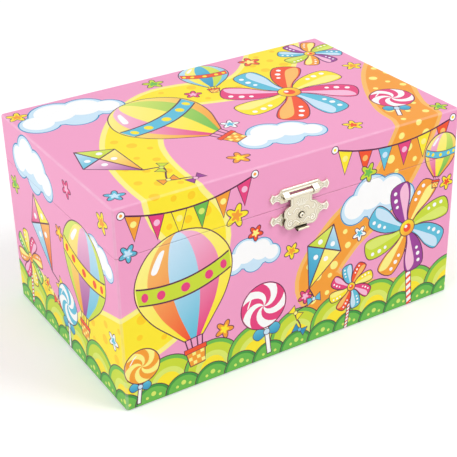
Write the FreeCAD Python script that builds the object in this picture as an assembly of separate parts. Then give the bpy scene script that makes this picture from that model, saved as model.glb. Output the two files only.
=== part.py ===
import FreeCAD, Part
import math
import os

# Ballerina jewellery box: a paper-covered board case with a hinged lid, a stamped metal catch on the
# front, a lined tray with ring rolls, and a spring-wound musical movement on the back board that turns
# a dancer on a small stage. Millimetres. +X is to the right along the front, +Y runs to the back, +Z is
# up, and the origin is the middle of the underside.

V = FreeCAD.Vector
X_AXIS = V(1, 0, 0)
Y_AXIS = V(0, 1, 0)
Z_AXIS = V(0, 0, 1)

# Sizes of the case
BOX_WIDTH = 190.0
BOX_DEPTH = 122.0
BOX_HEIGHT = 105.0
LID_HEIGHT = 24.3
BOARD = 5.0
LID_BOARD = 5.0
FLOOR_BOARD = 4.0
PAPER = 0.4
CORNER_RADIUS = 1.2
TOP_EDGE_RADIUS = 1.0
RIM_RADIUS = 0.3
SEAM_GAP = 0.5
UNDERSIDE_SHEET = 0.5
UNDERSIDE_INSET = 1.2

# Sizes of the lining, the tray and the stage
LINING = 1.0
LINING_REVEAL = 1.2
STAGE_DEPTH = 44.0
PARTITION = 3.0
DECK_TOP = 46.0
DECK = 3.0
RING_BLOCK_WIDTH = 58.0
RING_BLOCK_TOP = 27.0
RING_ROLL_COUNT = 5
RING_ROLL_GAP = 0.5
RING_ROLL_END_GAP = 0.6
RING_ROLL_FLAT = 0.7
RING_ROLL_ROUND = 1.4
MIRROR_SIDE_MARGIN = 22.6
MIRROR_END_MARGIN = 15.6
MIRROR_THICKNESS = 1.8
MIRROR_BEVEL = 0.8
MIRROR_FRAME_WIDTH = 4.0
MIRROR_FRAME = 2.4
MIRROR_PLAY = 0.2

# Sizes of the two lid hinges
HINGE_SPACING = 112.0
HINGE_WIDTH = 24.0
HINGE_MIDDLE_KNUCKLE = 9.4
HINGE_LEAF = 0.8
HINGE_LEAF_REACH = 4.6
KNUCKLE_RADIUS = 2.0
KNUCKLE_GAP = 0.3
HINGE_PIN_RADIUS = 1.0
PIN_PLAY = 0.05
STOP_RADIUS = 2.9
STOP_SIZE = 1.0
STOP_BAR_ANGLE = -60.0
LID_OPEN_ANGLE = 100.0
STOP_CLEAR_ANGLE = 2.0
NAIL_RADIUS = 0.5
NAIL_HEAD_RADIUS = 1.0
NAIL_HEAD = 0.35
NAIL_LENGTH = 3.6
HINGE_NAIL_SPACING = 15.0

# Sizes of the front catch
CATCH_SHEET = 0.8
CATCH_GAP = 0.4
CATCH_PIVOT_RISE = 5.5
CATCH_PLATE_WIDTH = 33.4
CATCH_WAIST_WIDTH = 21.0
CATCH_WING_HEIGHT = 5.2
CATCH_WING_POINT = 1.5
CATCH_WING_DIP = 1.0
CATCH_STEP = 0.7
UPPER_TOP_RISE = 9.7
UPPER_BOTTOM_RISE = 2.5
UPPER_TIP_RISE = 6.0
LOWER_TOP_DROP = 2.7
LOWER_BOTTOM_DROP = 9.1
LOWER_TIP_DROP = 5.5
CATCH_KNUCKLE_RADIUS = 1.45
CATCH_KNUCKLE_WIDTH = 3.0
CATCH_STRAP_RISE = 2.6
CATCH_PIN_RADIUS = 0.55
CATCH_PIN_SINK = 1.0
CATCH_KNUCKLE_GAP = 0.3
CATCH_WINDOW_GAP = 0.45
FLAP_CURL_RADIUS = 1.0
FLAP_CURL_WIDTH = 12.6
FLAP_NECK_WIDTH = 12.0
FLAP_NECK_RISE = 0.4
FLAP_WIDTH = 19.2
FLAP_SHOULDER_DROP = 1.9
FLAP_PINCH_DROP = 5.6
FLAP_PINCH = 1.0
FLAP_FOOT_RADIUS = 2.9
FLAP_FOOT_DROP = 11.7
FLAP_FORK_DROP = 11.4
FLAP_TAB_WIDTH = 6.2
FLAP_TAB_RADIUS = 1.5
STUD_DROP = 5.4
STUD_RADIUS = 1.3
STUD_HOLE_PLAY = 0.45
CATCH_NAIL_SPACING = 27.4

# Sizes of the movement
WIND_Z = 28.0
BEDPLATE = 2.2
BEDPLATE_LEFT = 16.0
BEDPLATE_RIGHT = 48.0
BEDPLATE_CLEAR = 0.5
BEDPLATE_TOP = 41.4
HOUSING_RADIUS = 12.5
HOUSING_DEPTH = 11.0
HOUSING_WALL = 0.8
ARBOR_RADIUS = 1.6
ARBOR_PLAY = 0.06
SPRING_STRIP = 0.4
SPRING_TURNS = 5
SPRING_INNER_RADIUS = 3.0
SPRING_OUTER_RADIUS = 11.2
WHEEL_DISC = 1.6
WHEEL_GAP = 0.4
CROWN_MODULE = 0.5
CROWN_TEETH = 42
CROWN_PINION_TEETH = 14
CROWN_FACE = 2.2
END_WHEEL_TEETH = 36
IDLER_PINION_TEETH = 12
TRAIN_MODULE = 0.5
IDLER_WHEEL_TEETH = 36
FAN_PINION_TEETH = 12
FAN_MODULE = 0.4
GEAR_ADDENDUM = 0.8
GEAR_DEDENDUM = 1.2
TOOTH_SHARE = 0.40
CROWN_TOOTH_SHARE = 0.36
PRESSURE_ANGLE = math.radians(20)
CYLINDER_START = 14.2
CYLINDER_LENGTH = 20.0
CYLINDER_RADIUS = 6.5
CYLINDER_ARBOR_RADIUS = 1.2
CYLINDER_PIN_RADIUS = 0.25
CYLINDER_PIN_HEIGHT = 0.6
PINS_PER_TRACK = 5
PIN_LAG = 0.41
COMB_TEETH = 18
COMB_THICKNESS = 0.9
COMB_TIP_GAP = 0.3
COMB_LONG_TOOTH = 10.0
COMB_SHORT_TOOTH = 6.0
COMB_TOOTH_SHARE = 0.66
COMB_FOOT = 6.0
COMB_SCREW_RADIUS = 1.0
COMB_SCREW_HEAD_RADIUS = 1.9
COMB_SCREW_HEAD = 1.1
COMB_SCREW_LENGTH = 5.0
POST_WIDTH = 1.2
GEAR_WIDTH = 1.4
GEAR_GAP = 0.8
TRAIN_PLATE = 2.0
STUD_SHAFT_RADIUS = 0.8
STUD_SHAFT_PLAY = 0.06
FAN_RADIUS = 7.0
FAN_BLADE = 0.5
FAN_LENGTH = 4.2
BRAKE_RADIUS = 4.0
BRAKE_WIDTH = 1.4
MOVEMENT_SCREW_RADIUS = 1.1
MOVEMENT_SCREW_HEAD_RADIUS = 2.2
MOVEMENT_SCREW_HEAD = 1.4
MOVEMENT_SCREW_LENGTH = 6.0
MOVEMENT_SCREW_MARGIN = 1.0

# Sizes of the winding key
KEY_HUB_RADIUS = 3.0
KEY_HUB_LENGTH = 9.0
KEY_GAP = 1.4
KEY_WING_REACH = 11.0
KEY_WING_LENGTH = 11.0
KEY_WING = 1.6
KEY_EYE_RADIUS = 2.4
KEY_HOLE_PLAY = 0.9
ESCUTCHEON_RADIUS = 6.5
ESCUTCHEON = 0.8

# Sizes of the stop wire and its presser in the lid
STOP_WIRE_RADIUS = 0.7
STOP_WIRE_PLAY = 0.08
STOP_WIRE_INSET = 5.6
STOP_WIRE_GAP = 0.3
PRESSER_WIDTH = 8.0
PRESSER_REACH = 8.0
PRESSER_RISE = 3.05

# Sizes of the dancer and her spindle
SPINDLE_RADIUS = 1.2
SPINDLE_PLAY = 0.08
FOOT_CUP_RADIUS = 4.0
FOOT_CUP_HEIGHT = 4.0
FOOT_CUP_DEPTH = 3.0
STAND_RADIUS = 6.0
STAND = 1.2
STAND_GAP = 0.4
DANCER_SPRING_RADIUS = 3.0
DANCER_SPRING_WIRE = 0.45
DANCER_SPRING_TURNS = 3
DANCER_SPRING_BEND = 1.0
DANCER_SPRING_HEIGHT = 9.0
PLINTH_RADIUS = 4.0
PLINTH = 1.4
DANCER_HEADROOM = 1.9
TUTU_RADIUS = 12.5
TUTU_GAP = 0.25
TUTU_PLEATS = 18
TUTU_PLEAT_DEPTH = 0.9
TUTU_SHEET = 0.5
TUTU_DROOP = 1.2

# Proportions of the dancer in head heights above the plinth: (height, half width, half depth) of level rings
LEG_SPREAD_SHARE = 0.19
LEG_RING_SHARES = (
    (-0.06, 0.09, 0.09), (0.7, 0.12, 0.12), (1.6, 0.2, 0.2),
    (2.15, 0.17, 0.17), (3.3, 0.28, 0.28), (3.8, 0.28, 0.28),
)
TORSO_RING_SHARES = (
    (3.55, 0.5, 0.38), (4.3, 0.33, 0.26), (4.95, 0.45, 0.33), (5.4, 0.48, 0.24), (5.65, 0.2, 0.18),
)
HIP_LEVEL_SHARE = 3.78
HIP_SHARE = 0.5
NECK_LEVEL_SHARE = 5.5
NECK_SHARE = 0.16
SKULL_LEVEL_SHARE = 6.4
SKULL_SHARE = 0.5
CHIN_SHARE = 0.35
CHIN_DROP_SHARE = 0.24
CHIN_FORWARD_SHARE = 0.09
BUN_SHARE = 0.27
BUN_RISE_SHARE = 0.46
BUN_BACK_SHARE = 0.33
ARM_SHARE = 0.13
SHOULDER_SHARES = (0.42, 0.0, 5.35)
ELBOW_SHARES = (1.15, 0.17, 6.6)
HAND_SHARES = (0.26, 0.26, 7.9)

# Places worked out from the sizes
SEAM_Z = BOX_HEIGHT - LID_HEIGHT
BASE_TOP = SEAM_Z - SEAM_GAP / 2
LID_BOTTOM = SEAM_Z + SEAM_GAP / 2
HALF_X = BOX_WIDTH / 2
HALF_Y = BOX_DEPTH / 2
BOARD_X = HALF_X - PAPER
BOARD_Y = HALF_Y - PAPER
INNER_X = BOARD_X - BOARD
INNER_Y = BOARD_Y - BOARD
FLOOR_TOP = UNDERSIDE_SHEET + FLOOR_BOARD
LID_CEILING = BOX_HEIGHT - PAPER - LID_BOARD
STAGE_FRONT = INNER_Y - STAGE_DEPTH
PARTITION_FRONT = STAGE_FRONT - PARTITION
HINGE_Y = HALF_Y + KNUCKLE_RADIUS + KNUCKLE_GAP
STOP_INNER = STOP_RADIUS - STOP_SIZE / 2
STOP_HALF_ANGLE = math.degrees(math.asin(STOP_SIZE / 2 / STOP_INNER))
STOP_NIB_ANGLE = STOP_BAR_ANGLE + LID_OPEN_ANGLE + 2 * STOP_HALF_ANGLE + STOP_CLEAR_ANGLE
CATCH_PIVOT_Z = SEAM_Z + CATCH_PIVOT_RISE
UPPER_PLATE_TOP = SEAM_Z + UPPER_TOP_RISE
UPPER_PLATE_BOTTOM = SEAM_Z + UPPER_BOTTOM_RISE
UPPER_TIP_Z = SEAM_Z + UPPER_TIP_RISE
LOWER_PLATE_TOP = SEAM_Z - LOWER_TOP_DROP
LOWER_PLATE_BOTTOM = SEAM_Z - LOWER_BOTTOM_DROP
LOWER_TIP_Z = SEAM_Z - LOWER_TIP_DROP
FLAP_NECK_Z = SEAM_Z + FLAP_NECK_RISE
FLAP_SHOULDER_Z = SEAM_Z - FLAP_SHOULDER_DROP
FLAP_PINCH_Z = SEAM_Z - FLAP_PINCH_DROP
FLAP_FOOT_Z = SEAM_Z - FLAP_FOOT_DROP
FLAP_FORK_Z = SEAM_Z - FLAP_FORK_DROP
STUD_Z = SEAM_Z - STUD_DROP
CATCH_PIVOT_Y = -HALF_Y - CATCH_SHEET - CATCH_GAP - CATCH_SHEET / 2
BEDPLATE_FRONT = INNER_Y - BEDPLATE
HOUSING_FRONT = BEDPLATE_FRONT - HOUSING_DEPTH
CROWN_ROOT_Y = HOUSING_FRONT - WHEEL_GAP - WHEEL_DISC
CROWN_RADIUS = CROWN_MODULE * CROWN_TEETH / 2
CROWN_PINION_RADIUS = CROWN_MODULE * CROWN_PINION_TEETH / 2
ROLLER_Y = CROWN_ROOT_Y - CROWN_PINION_RADIUS - CROWN_MODULE * GEAR_DEDENDUM
CYLINDER_END = CYLINDER_START + CYLINDER_LENGTH
END_WHEEL_X = CYLINDER_END + GEAR_GAP
IDLER_Z = WIND_Z - TRAIN_MODULE * (END_WHEEL_TEETH + IDLER_PINION_TEETH) / 2
IDLER_WHEEL_X = END_WHEEL_X + GEAR_WIDTH + GEAR_GAP
FAN_Y = ROLLER_Y - FAN_MODULE * (IDLER_WHEEL_TEETH + FAN_PINION_TEETH) / 2
FAN_X = IDLER_WHEEL_X + GEAR_WIDTH + GEAR_GAP
BRAKE_X = FAN_X + FAN_LENGTH + GEAR_GAP / 2
TRAIN_PLATE_X = BRAKE_X + BRAKE_WIDTH + GEAR_GAP / 2
STOP_WIRE_X = BRAKE_X + BRAKE_WIDTH / 2
STOP_WIRE_Y = INNER_Y - STOP_WIRE_INSET
PRESSER_BOTTOM = LID_BOTTOM + PRESSER_RISE
STOP_ARM_Z = IDLER_Z + BRAKE_RADIUS + STOP_WIRE_GAP + STOP_WIRE_RADIUS
STAND_BOTTOM = DECK_TOP + STAND_GAP
SPRING_BOTTOM = STAND_BOTTOM + STAND
PLINTH_BOTTOM = SPRING_BOTTOM + DANCER_SPRING_HEIGHT
FIGURE_BOTTOM = PLINTH_BOTTOM + PLINTH
FIGURE_TOP = LID_CEILING - LINING - MIRROR_THICKNESS - DANCER_HEADROOM
HEAD = (FIGURE_TOP - FIGURE_BOTTOM) / (HAND_SHARES[2] + ARM_SHARE)

parts = {}


# Shapes that several pieces use
def block(x0, x1, y0, y1, z0, z1):
    """A box between two corners."""
    return Part.makeBox(x1 - x0, y1 - y0, z1 - z0, V(x0, y0, z0))


def rod(centre, axis, radius, length):
    """A round bar that starts at centre and runs along axis."""
    return Part.makeCylinder(radius, length, centre, axis)


def tube(centre, axis, outer, inner, length):
    return rod(centre, axis, outer, length).cut(rod(centre, axis, inner, length))


def rounded_block(width, depth, z0, z1, radius):
    """An upright block about the Z axis with its four upright edges rounded."""
    body = block(-width / 2, width / 2, -depth / 2, depth / 2, z0, z1)
    upright = [e for e in body.Edges if abs(e.tangentAt(e.FirstParameter).z) > 0.9]
    return body.makeFillet(radius, upright)


def edges_at_height(shape, z):
    return [e for e in shape.Edges if abs(e.BoundBox.ZMin - z) < 1e-6 and abs(e.BoundBox.ZMax - z) < 1e-6]


def seat(shape, origin, axis, zero):
    """Moves a shape drawn about +Z so that its Z lies along axis and its X along zero."""
    side = axis.cross(zero)
    turn = FreeCAD.Matrix(
        zero.x, side.x, axis.x, origin.x,
        zero.y, side.y, axis.y, origin.y,
        zero.z, side.z, axis.z, origin.z,
        0, 0, 0, 1,
    )
    moved = shape.copy()
    moved.Placement = FreeCAD.Placement(turn)
    return moved


def group(shapes):
    return Part.makeCompound(shapes)


def plate_from_outline(edges, y_front, thickness):
    """A sheet drawn in the XZ plane by its edges, at y_front, running back by thickness."""
    face = Part.Face(Part.Wire(Part.__sortEdges__(edges)))
    face.translate(V(0, y_front, 0))
    return face.extrude(V(0, thickness, 0))


def nail(head_point, into, length):
    """A small domed nail whose head stands on head_point and whose shank runs along into."""
    head = rod(head_point, into * -1, NAIL_HEAD_RADIUS, NAIL_HEAD)
    rim = [e for e in head.Edges if (e.CenterOfMass - head_point).dot(into) < -NAIL_HEAD / 2 and e.Closed]
    return head.makeFillet(NAIL_HEAD * 0.6, rim).fuse(rod(head_point, into, NAIL_RADIUS, length))


# Toothed wheels
def involute(angle):
    return math.tan(angle) - angle


def gear_outline(teeth, module, turned):
    """Corner points of a spur wheel with a tooth centred at angle turned."""
    pitch_radius = module * teeth / 2
    base_radius = pitch_radius * math.cos(PRESSURE_ANGLE)
    root = pitch_radius - GEAR_DEDENDUM * module
    tip = pitch_radius + GEAR_ADDENDUM * module
    half_tooth = math.pi * TOOTH_SHARE / teeth
    flank = []
    for radius in (root, pitch_radius, (pitch_radius + tip) / 2, tip):
        at = math.acos(min(1.0, base_radius / radius))
        flank.append((radius, half_tooth + involute(PRESSURE_ANGLE) - involute(at)))
    points = []
    for tooth in range(teeth):
        middle = turned + 2 * math.pi * tooth / teeth
        rising = [(r, middle - a) for r, a in flank]
        falling = [(r, middle + a) for r, a in reversed(flank)]
        points += [V(r * math.cos(a), r * math.sin(a), 0) for r, a in rising + falling]
    return points


def spur_wheel(teeth, module, width, bore, turned):
    points = gear_outline(teeth, module, turned)
    wheel = Part.Face(Part.makePolygon(points + points[:1])).extrude(V(0, 0, width))
    return wheel.cut(rod(V(0, 0, 0), Z_AXIS, bore, width)) if bore else wheel


def crown_wheel():
    """A disc with radial teeth standing on its front face, drawn about +Z with the teeth towards +Z."""
    pitch = math.pi * CROWN_MODULE
    slope = math.tan(PRESSURE_ANGLE)
    addendum = GEAR_ADDENDUM * CROWN_MODULE
    dedendum = GEAR_DEDENDUM * CROWN_MODULE
    sunk = WHEEL_DISC / 4
    half_pitch_line = CROWN_TOOTH_SHARE * pitch / 2
    half_tip = half_pitch_line - addendum * slope
    half_foot = half_pitch_line + dedendum * slope
    inner = CROWN_RADIUS - CROWN_FACE / 2
    outline = [
        V(inner, -half_foot, -sunk), V(inner, half_foot, -sunk), V(inner, half_foot, 0),
        V(inner, half_tip, addendum + dedendum), V(inner, -half_tip, addendum + dedendum),
        V(inner, -half_foot, 0),
    ]
    tooth = Part.Face(Part.makePolygon(outline + outline[:1])).extrude(V(CROWN_FACE, 0, 0))
    disc = rod(V(0, 0, -WHEEL_DISC), Z_AXIS, CROWN_RADIUS + CROWN_FACE / 2 + CROWN_MODULE, WHEEL_DISC)
    teeth = []
    for number in range(CROWN_TEETH):
        copy = tooth.copy()
        copy.rotate(V(0, 0, 0), Z_AXIS, 360.0 * number / CROWN_TEETH)
        teeth.append(copy)
    return disc.multiFuse(teeth).cut(rod(V(0, 0, -WHEEL_DISC), Z_AXIS, ARBOR_RADIUS, 2 * WHEEL_DISC))


# Where the fastenings pass through the case
def hinge_middles():
    return [-HINGE_SPACING / 2, HINGE_SPACING / 2]


def hinge_nail_points(z):
    y = HALF_Y - HINGE_LEAF_REACH / 2
    offsets = (-HINGE_NAIL_SPACING / 2, HINGE_NAIL_SPACING / 2)
    return [V(middle + offset, y, z) for middle in hinge_middles() for offset in offsets]


def catch_nail_points(z):
    y = -HALF_Y - CATCH_SHEET
    return [V(side * CATCH_NAIL_SPACING / 2, y, z) for side in (-1, 1)]


def movement_screw_points():
    inset = MOVEMENT_SCREW_HEAD_RADIUS + MOVEMENT_SCREW_MARGIN
    low = FLOOR_TOP + BEDPLATE_CLEAR + inset
    high = BEDPLATE_TOP - inset
    return [V(-BEDPLATE_LEFT + inset, BEDPLATE_FRONT, low), V(-BEDPLATE_LEFT + inset, BEDPLATE_FRONT, high),
            V(BEDPLATE_RIGHT - inset, BEDPLATE_FRONT, high)]


def hinge_mortice(z0, z1):
    y0 = HALF_Y - HINGE_LEAF_REACH
    cuts = [block(m - HINGE_WIDTH / 2, m + HINGE_WIDTH / 2, y0, HALF_Y, z0, z1) for m in hinge_middles()]
    return group(cuts)


def nail_holes(points, into, length):
    return group([rod(p, into, NAIL_RADIUS, length) for p in points])


BASE_LEAF = (BASE_TOP - HINGE_LEAF, BASE_TOP)
LID_LEAF = (LID_BOTTOM, LID_BOTTOM + HINGE_LEAF)
BASE_HINGE_NAILS = nail_holes(hinge_nail_points(BASE_LEAF[1]), Z_AXIS * -1, NAIL_LENGTH)
LID_HINGE_NAILS = nail_holes(hinge_nail_points(LID_LEAF[0]), Z_AXIS, NAIL_LENGTH)
UPPER_CATCH_NAILS = nail_holes(catch_nail_points(UPPER_TIP_Z), Y_AXIS, NAIL_LENGTH)
LOWER_CATCH_NAILS = nail_holes(catch_nail_points(LOWER_TIP_Z), Y_AXIS, NAIL_LENGTH)
MOVEMENT_SCREW_HOLES = group(
    [rod(p, Y_AXIS, MOVEMENT_SCREW_RADIUS, MOVEMENT_SCREW_LENGTH) for p in movement_screw_points()]
)
KEY_HOLE = rod(V(0, INNER_Y, WIND_Z), Y_AXIS, ARBOR_RADIUS + KEY_HOLE_PLAY, 2 * BOARD)


# Case: five boards glued at butt joints, with a sheet under the floor
def make_base_boards():
    top = BASE_TOP - PAPER
    solid = rounded_block(2 * BOARD_X, 2 * BOARD_Y, UNDERSIDE_SHEET, top, CORNER_RADIUS - PAPER)
    front = solid.common(block(-HALF_X, HALF_X, -HALF_Y, -INNER_Y, 0, BOX_HEIGHT))
    back = solid.common(block(-HALF_X, HALF_X, INNER_Y, HALF_Y, 0, BOX_HEIGHT))
    parts["base_front_board"] = front.cut(LOWER_CATCH_NAILS)
    back = back.cut(hinge_mortice(*BASE_LEAF)).cut(BASE_HINGE_NAILS)
    parts["base_back_board"] = back.cut(MOVEMENT_SCREW_HOLES).cut(KEY_HOLE)
    parts["base_left_board"] = block(-BOARD_X, -INNER_X, -INNER_Y, INNER_Y, UNDERSIDE_SHEET, top)
    parts["base_right_board"] = block(INNER_X, BOARD_X, -INNER_Y, INNER_Y, UNDERSIDE_SHEET, top)
    parts["base_floor_board"] = block(-INNER_X, INNER_X, -INNER_Y, INNER_Y, UNDERSIDE_SHEET, FLOOR_TOP)
    width = BOX_WIDTH - 2 * UNDERSIDE_INSET
    depth = BOX_DEPTH - 2 * UNDERSIDE_INSET
    parts["underside_sheet"] = rounded_block(width, depth, 0, UNDERSIDE_SHEET, CORNER_RADIUS)


def make_base_wrap():
    """Printed paper over the four walls, turned over the rim."""
    outer = rounded_block(BOX_WIDTH, BOX_DEPTH, UNDERSIDE_SHEET, BASE_TOP, CORNER_RADIUS)
    outer = outer.makeFillet(RIM_RADIUS, edges_at_height(outer, BASE_TOP))
    core = rounded_block(2 * BOARD_X, 2 * BOARD_Y, UNDERSIDE_SHEET, BASE_TOP - PAPER, CORNER_RADIUS - PAPER)
    mouth = block(-INNER_X, INNER_X, -INNER_Y, INNER_Y, UNDERSIDE_SHEET, BASE_TOP)
    wrap = outer.cut(core).cut(mouth).cut(hinge_mortice(*BASE_LEAF))
    parts["base_wrap"] = wrap.cut(LOWER_CATCH_NAILS).cut(KEY_HOLE)


def lid_block(width, depth, z0, z1, corner, edge):
    body = rounded_block(width, depth, z0, z1, corner)
    return body.makeFillet(edge, edges_at_height(body, z1))


def make_lid_boards():
    low = LID_BOTTOM + PAPER
    high = BOX_HEIGHT - PAPER
    solid = lid_block(2 * BOARD_X, 2 * BOARD_Y, low, high, CORNER_RADIUS - PAPER, TOP_EDGE_RADIUS - PAPER)
    parts["lid_top_board"] = solid.common(block(-HALF_X, HALF_X, -HALF_Y, HALF_Y, LID_CEILING, BOX_HEIGHT))
    front = solid.common(block(-HALF_X, HALF_X, -HALF_Y, -INNER_Y, 0, LID_CEILING))
    back = solid.common(block(-HALF_X, HALF_X, INNER_Y, HALF_Y, 0, LID_CEILING))
    parts["lid_front_strip"] = front.cut(UPPER_CATCH_NAILS)
    parts["lid_back_strip"] = back.cut(hinge_mortice(*LID_LEAF)).cut(LID_HINGE_NAILS)
    parts["lid_left_strip"] = block(-BOARD_X, -INNER_X, -INNER_Y, INNER_Y, low, LID_CEILING)
    parts["lid_right_strip"] = block(INNER_X, BOARD_X, -INNER_Y, INNER_Y, low, LID_CEILING)


def make_lid_wrap():
    """Printed paper over the lid's top and sides, turned over the rim."""
    outer = lid_block(BOX_WIDTH, BOX_DEPTH, LID_BOTTOM, BOX_HEIGHT, CORNER_RADIUS, TOP_EDGE_RADIUS)
    outer = outer.makeFillet(RIM_RADIUS, edges_at_height(outer, LID_BOTTOM))
    low = LID_BOTTOM + PAPER
    high = BOX_HEIGHT - PAPER
    core = lid_block(2 * BOARD_X, 2 * BOARD_Y, low, high, CORNER_RADIUS - PAPER, TOP_EDGE_RADIUS - PAPER)
    mouth = block(-INNER_X, INNER_X, -INNER_Y, INNER_Y, LID_BOTTOM, low)
    parts["lid_wrap"] = outer.cut(core).cut(mouth).cut(hinge_mortice(*LID_LEAF)).cut(UPPER_CATCH_NAILS)


# Linings, tray and stage
def make_linings():
    rim = BASE_TOP - LINING_REVEAL
    tray = block(-INNER_X, INNER_X, -INNER_Y, PARTITION_FRONT, FLOOR_TOP, rim)
    hollow = block(-INNER_X + LINING, INNER_X - LINING, -INNER_Y + LINING, PARTITION_FRONT - LINING,
                   FLOOR_TOP + LINING, rim)
    over_stage = block(-INNER_X + LINING, INNER_X - LINING, PARTITION_FRONT - LINING, PARTITION_FRONT,
                       DECK_TOP, rim)
    parts["tray_lining"] = tray.cut(hollow).cut(over_stage)
    stage = block(-INNER_X, INNER_X, PARTITION_FRONT, INNER_Y, DECK_TOP, rim)
    room = block(-INNER_X + LINING, INNER_X - LINING, PARTITION_FRONT, INNER_Y - LINING, DECK_TOP, rim)
    parts["stage_backcloth"] = stage.cut(room)
    low = LID_BOTTOM + LINING_REVEAL
    outside = block(-INNER_X, INNER_X, -INNER_Y, INNER_Y, low, LID_CEILING)
    inside = block(-INNER_X + LINING, INNER_X - LINING, -INNER_Y + LINING, INNER_Y - LINING,
                   low, LID_CEILING - LINING)
    parts["lid_lining"] = outside.cut(inside)


def make_stage():
    low = DECK_TOP - DECK
    parts["stage_partition"] = block(-INNER_X, INNER_X, PARTITION_FRONT, STAGE_FRONT, FLOOR_TOP, low)
    deck = block(-INNER_X, INNER_X, PARTITION_FRONT, INNER_Y, low, DECK_TOP)
    deck = deck.cut(rod(V(0, ROLLER_Y, low), Z_AXIS, SPINDLE_RADIUS + SPINDLE_PLAY, DECK))
    wire_foot = V(STOP_WIRE_X, STOP_WIRE_Y, low)
    parts["stage_deck"] = deck.cut(rod(wire_foot, Z_AXIS, STOP_WIRE_RADIUS + STOP_WIRE_PLAY, DECK))


def make_ring_tray():
    """A foam block with soft rolls side by side on it; rings are pushed down between the rolls."""
    right = INNER_X - LINING
    left = right - RING_BLOCK_WIDTH
    front = -INNER_Y + LINING
    back = PARTITION_FRONT - LINING
    foam = block(left, right, front, back, FLOOR_TOP + LINING, RING_BLOCK_TOP)
    parts["ring_block"] = foam
    pitch = RING_BLOCK_WIDTH / RING_ROLL_COUNT
    radius = (pitch - RING_ROLL_GAP) / 2
    length = back - front - 2 * RING_ROLL_END_GAP
    middle_z = RING_BLOCK_TOP + radius - RING_ROLL_FLAT
    rolls = []
    for number in range(RING_ROLL_COUNT):
        end = V(left + pitch * (number + 0.5), front + RING_ROLL_END_GAP, middle_z)
        roll = rod(end, Y_AXIS, radius, length)
        rolls.append(roll.makeFillet(RING_ROLL_ROUND, [e for e in roll.Edges if e.Closed]).cut(foam))
    parts["ring_rolls"] = group(rolls)


def make_mirror():
    ceiling = LID_CEILING - LINING
    width = INNER_X - LINING - MIRROR_SIDE_MARGIN
    depth = INNER_Y - LINING - MIRROR_END_MARGIN
    glass = block(-width, width, -depth, depth, ceiling - MIRROR_THICKNESS, ceiling)
    glass = glass.makeChamfer(MIRROR_BEVEL, edges_at_height(glass, ceiling - MIRROR_THICKNESS))
    parts["lid_mirror"] = glass
    outer_w = width + MIRROR_FRAME_WIDTH
    outer_d = depth + MIRROR_FRAME_WIDTH
    frame = block(-outer_w, outer_w, -outer_d, outer_d, ceiling - MIRROR_FRAME, ceiling)
    frame = frame.makeChamfer(MIRROR_BEVEL, edges_at_height(frame, ceiling - MIRROR_FRAME))
    play_w = width + MIRROR_PLAY
    play_d = depth + MIRROR_PLAY
    opening = block(-play_w, play_w, -play_d, play_d, ceiling - MIRROR_FRAME, ceiling)
    parts["mirror_frame"] = frame.cut(opening)


# Lid hinges: leaves let into the rims, knuckles behind the back face, and a stop at a little over 100 degrees
def radial_lug(x0, x1, angle, inner, outer):
    """A small rib about the hinge axis at an angle above straight back."""
    lug = block(x0, x1, inner, outer, -STOP_SIZE / 2, STOP_SIZE / 2)
    lug.rotate(V(0, 0, 0), X_AXIS, angle)
    lug.translate(V(0, HINGE_Y, SEAM_Z))
    return lug


def hinge_leaf(z0, z1, knuckle_spans, whole_span):
    low, high = whole_span
    leaf = block(low, high, HALF_Y - HINGE_LEAF_REACH, HALF_Y, z0, z1)
    for x0, x1 in knuckle_spans:
        neck = block(x0, x1, HALF_Y, HINGE_Y, z0, z1)
        knuckle = rod(V(x0, HINGE_Y, SEAM_Z), X_AXIS, KNUCKLE_RADIUS, x1 - x0)
        leaf = leaf.fuse(neck).fuse(knuckle)
    return leaf


def make_hinges():
    base_leaves, lid_leaves, pins = [], [], []
    half = HINGE_WIDTH / 2
    middle_half = HINGE_MIDDLE_KNUCKLE / 2
    reach = STOP_RADIUS + STOP_SIZE / 2
    for middle in hinge_middles():
        whole = (middle - half, middle + half)
        inner = (middle - middle_half, middle + middle_half)
        left = (whole[0], inner[0] - KNUCKLE_GAP)
        right = (inner[1] + KNUCKLE_GAP, whole[1])
        bore = rod(V(whole[0], HINGE_Y, SEAM_Z), X_AXIS, HINGE_PIN_RADIUS + PIN_PLAY, HINGE_WIDTH)
        base_leaf = hinge_leaf(*BASE_LEAF, [left, right], whole)
        base_leaf = base_leaf.fuse(radial_lug(left[1] - STOP_SIZE, left[1], STOP_BAR_ANGLE, 0, reach))
        base_leaf = base_leaf.fuse(radial_lug(right[0], right[0] + STOP_SIZE, STOP_BAR_ANGLE, 0, reach))
        bar = radial_lug(left[1] - STOP_SIZE, right[0] + STOP_SIZE, STOP_BAR_ANGLE, STOP_INNER, reach)
        base_leaves.append(base_leaf.fuse(bar).cut(bore).cut(BASE_HINGE_NAILS).removeSplitter())
        lid_leaf = hinge_leaf(*LID_LEAF, [inner], whole)
        lid_leaf = lid_leaf.fuse(radial_lug(*inner, STOP_NIB_ANGLE, 0, reach)).cut(bore).cut(LID_HINGE_NAILS)
        lid_leaves.append(lid_leaf.removeSplitter())
        pins.append(rod(V(whole[0], HINGE_Y, SEAM_Z), X_AXIS, HINGE_PIN_RADIUS, HINGE_WIDTH))
    parts["hinge_leaves_base"] = group(base_leaves)
    parts["hinge_leaves_lid"] = group(lid_leaves)
    parts["hinge_pins"] = group(pins)


def flush_nails(points, into):
    return group([rod(p, into, NAIL_RADIUS, NAIL_LENGTH) for p in points])


def make_hinge_nails():
    parts["hinge_nails_base"] = flush_nails(hinge_nail_points(BASE_LEAF[1]), Z_AXIS * -1)
    parts["hinge_nails_lid"] = flush_nails(hinge_nail_points(LID_LEAF[0]), Z_AXIS)


# Front catch: two nailed plates, a hinged flap on a pin, and a stud that the flap drops over
def line(a, b):
    return Part.LineSegment(a, b).toShape()


def arc(a, b, c):
    return Part.Arc(a, b, c).toShape()


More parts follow.
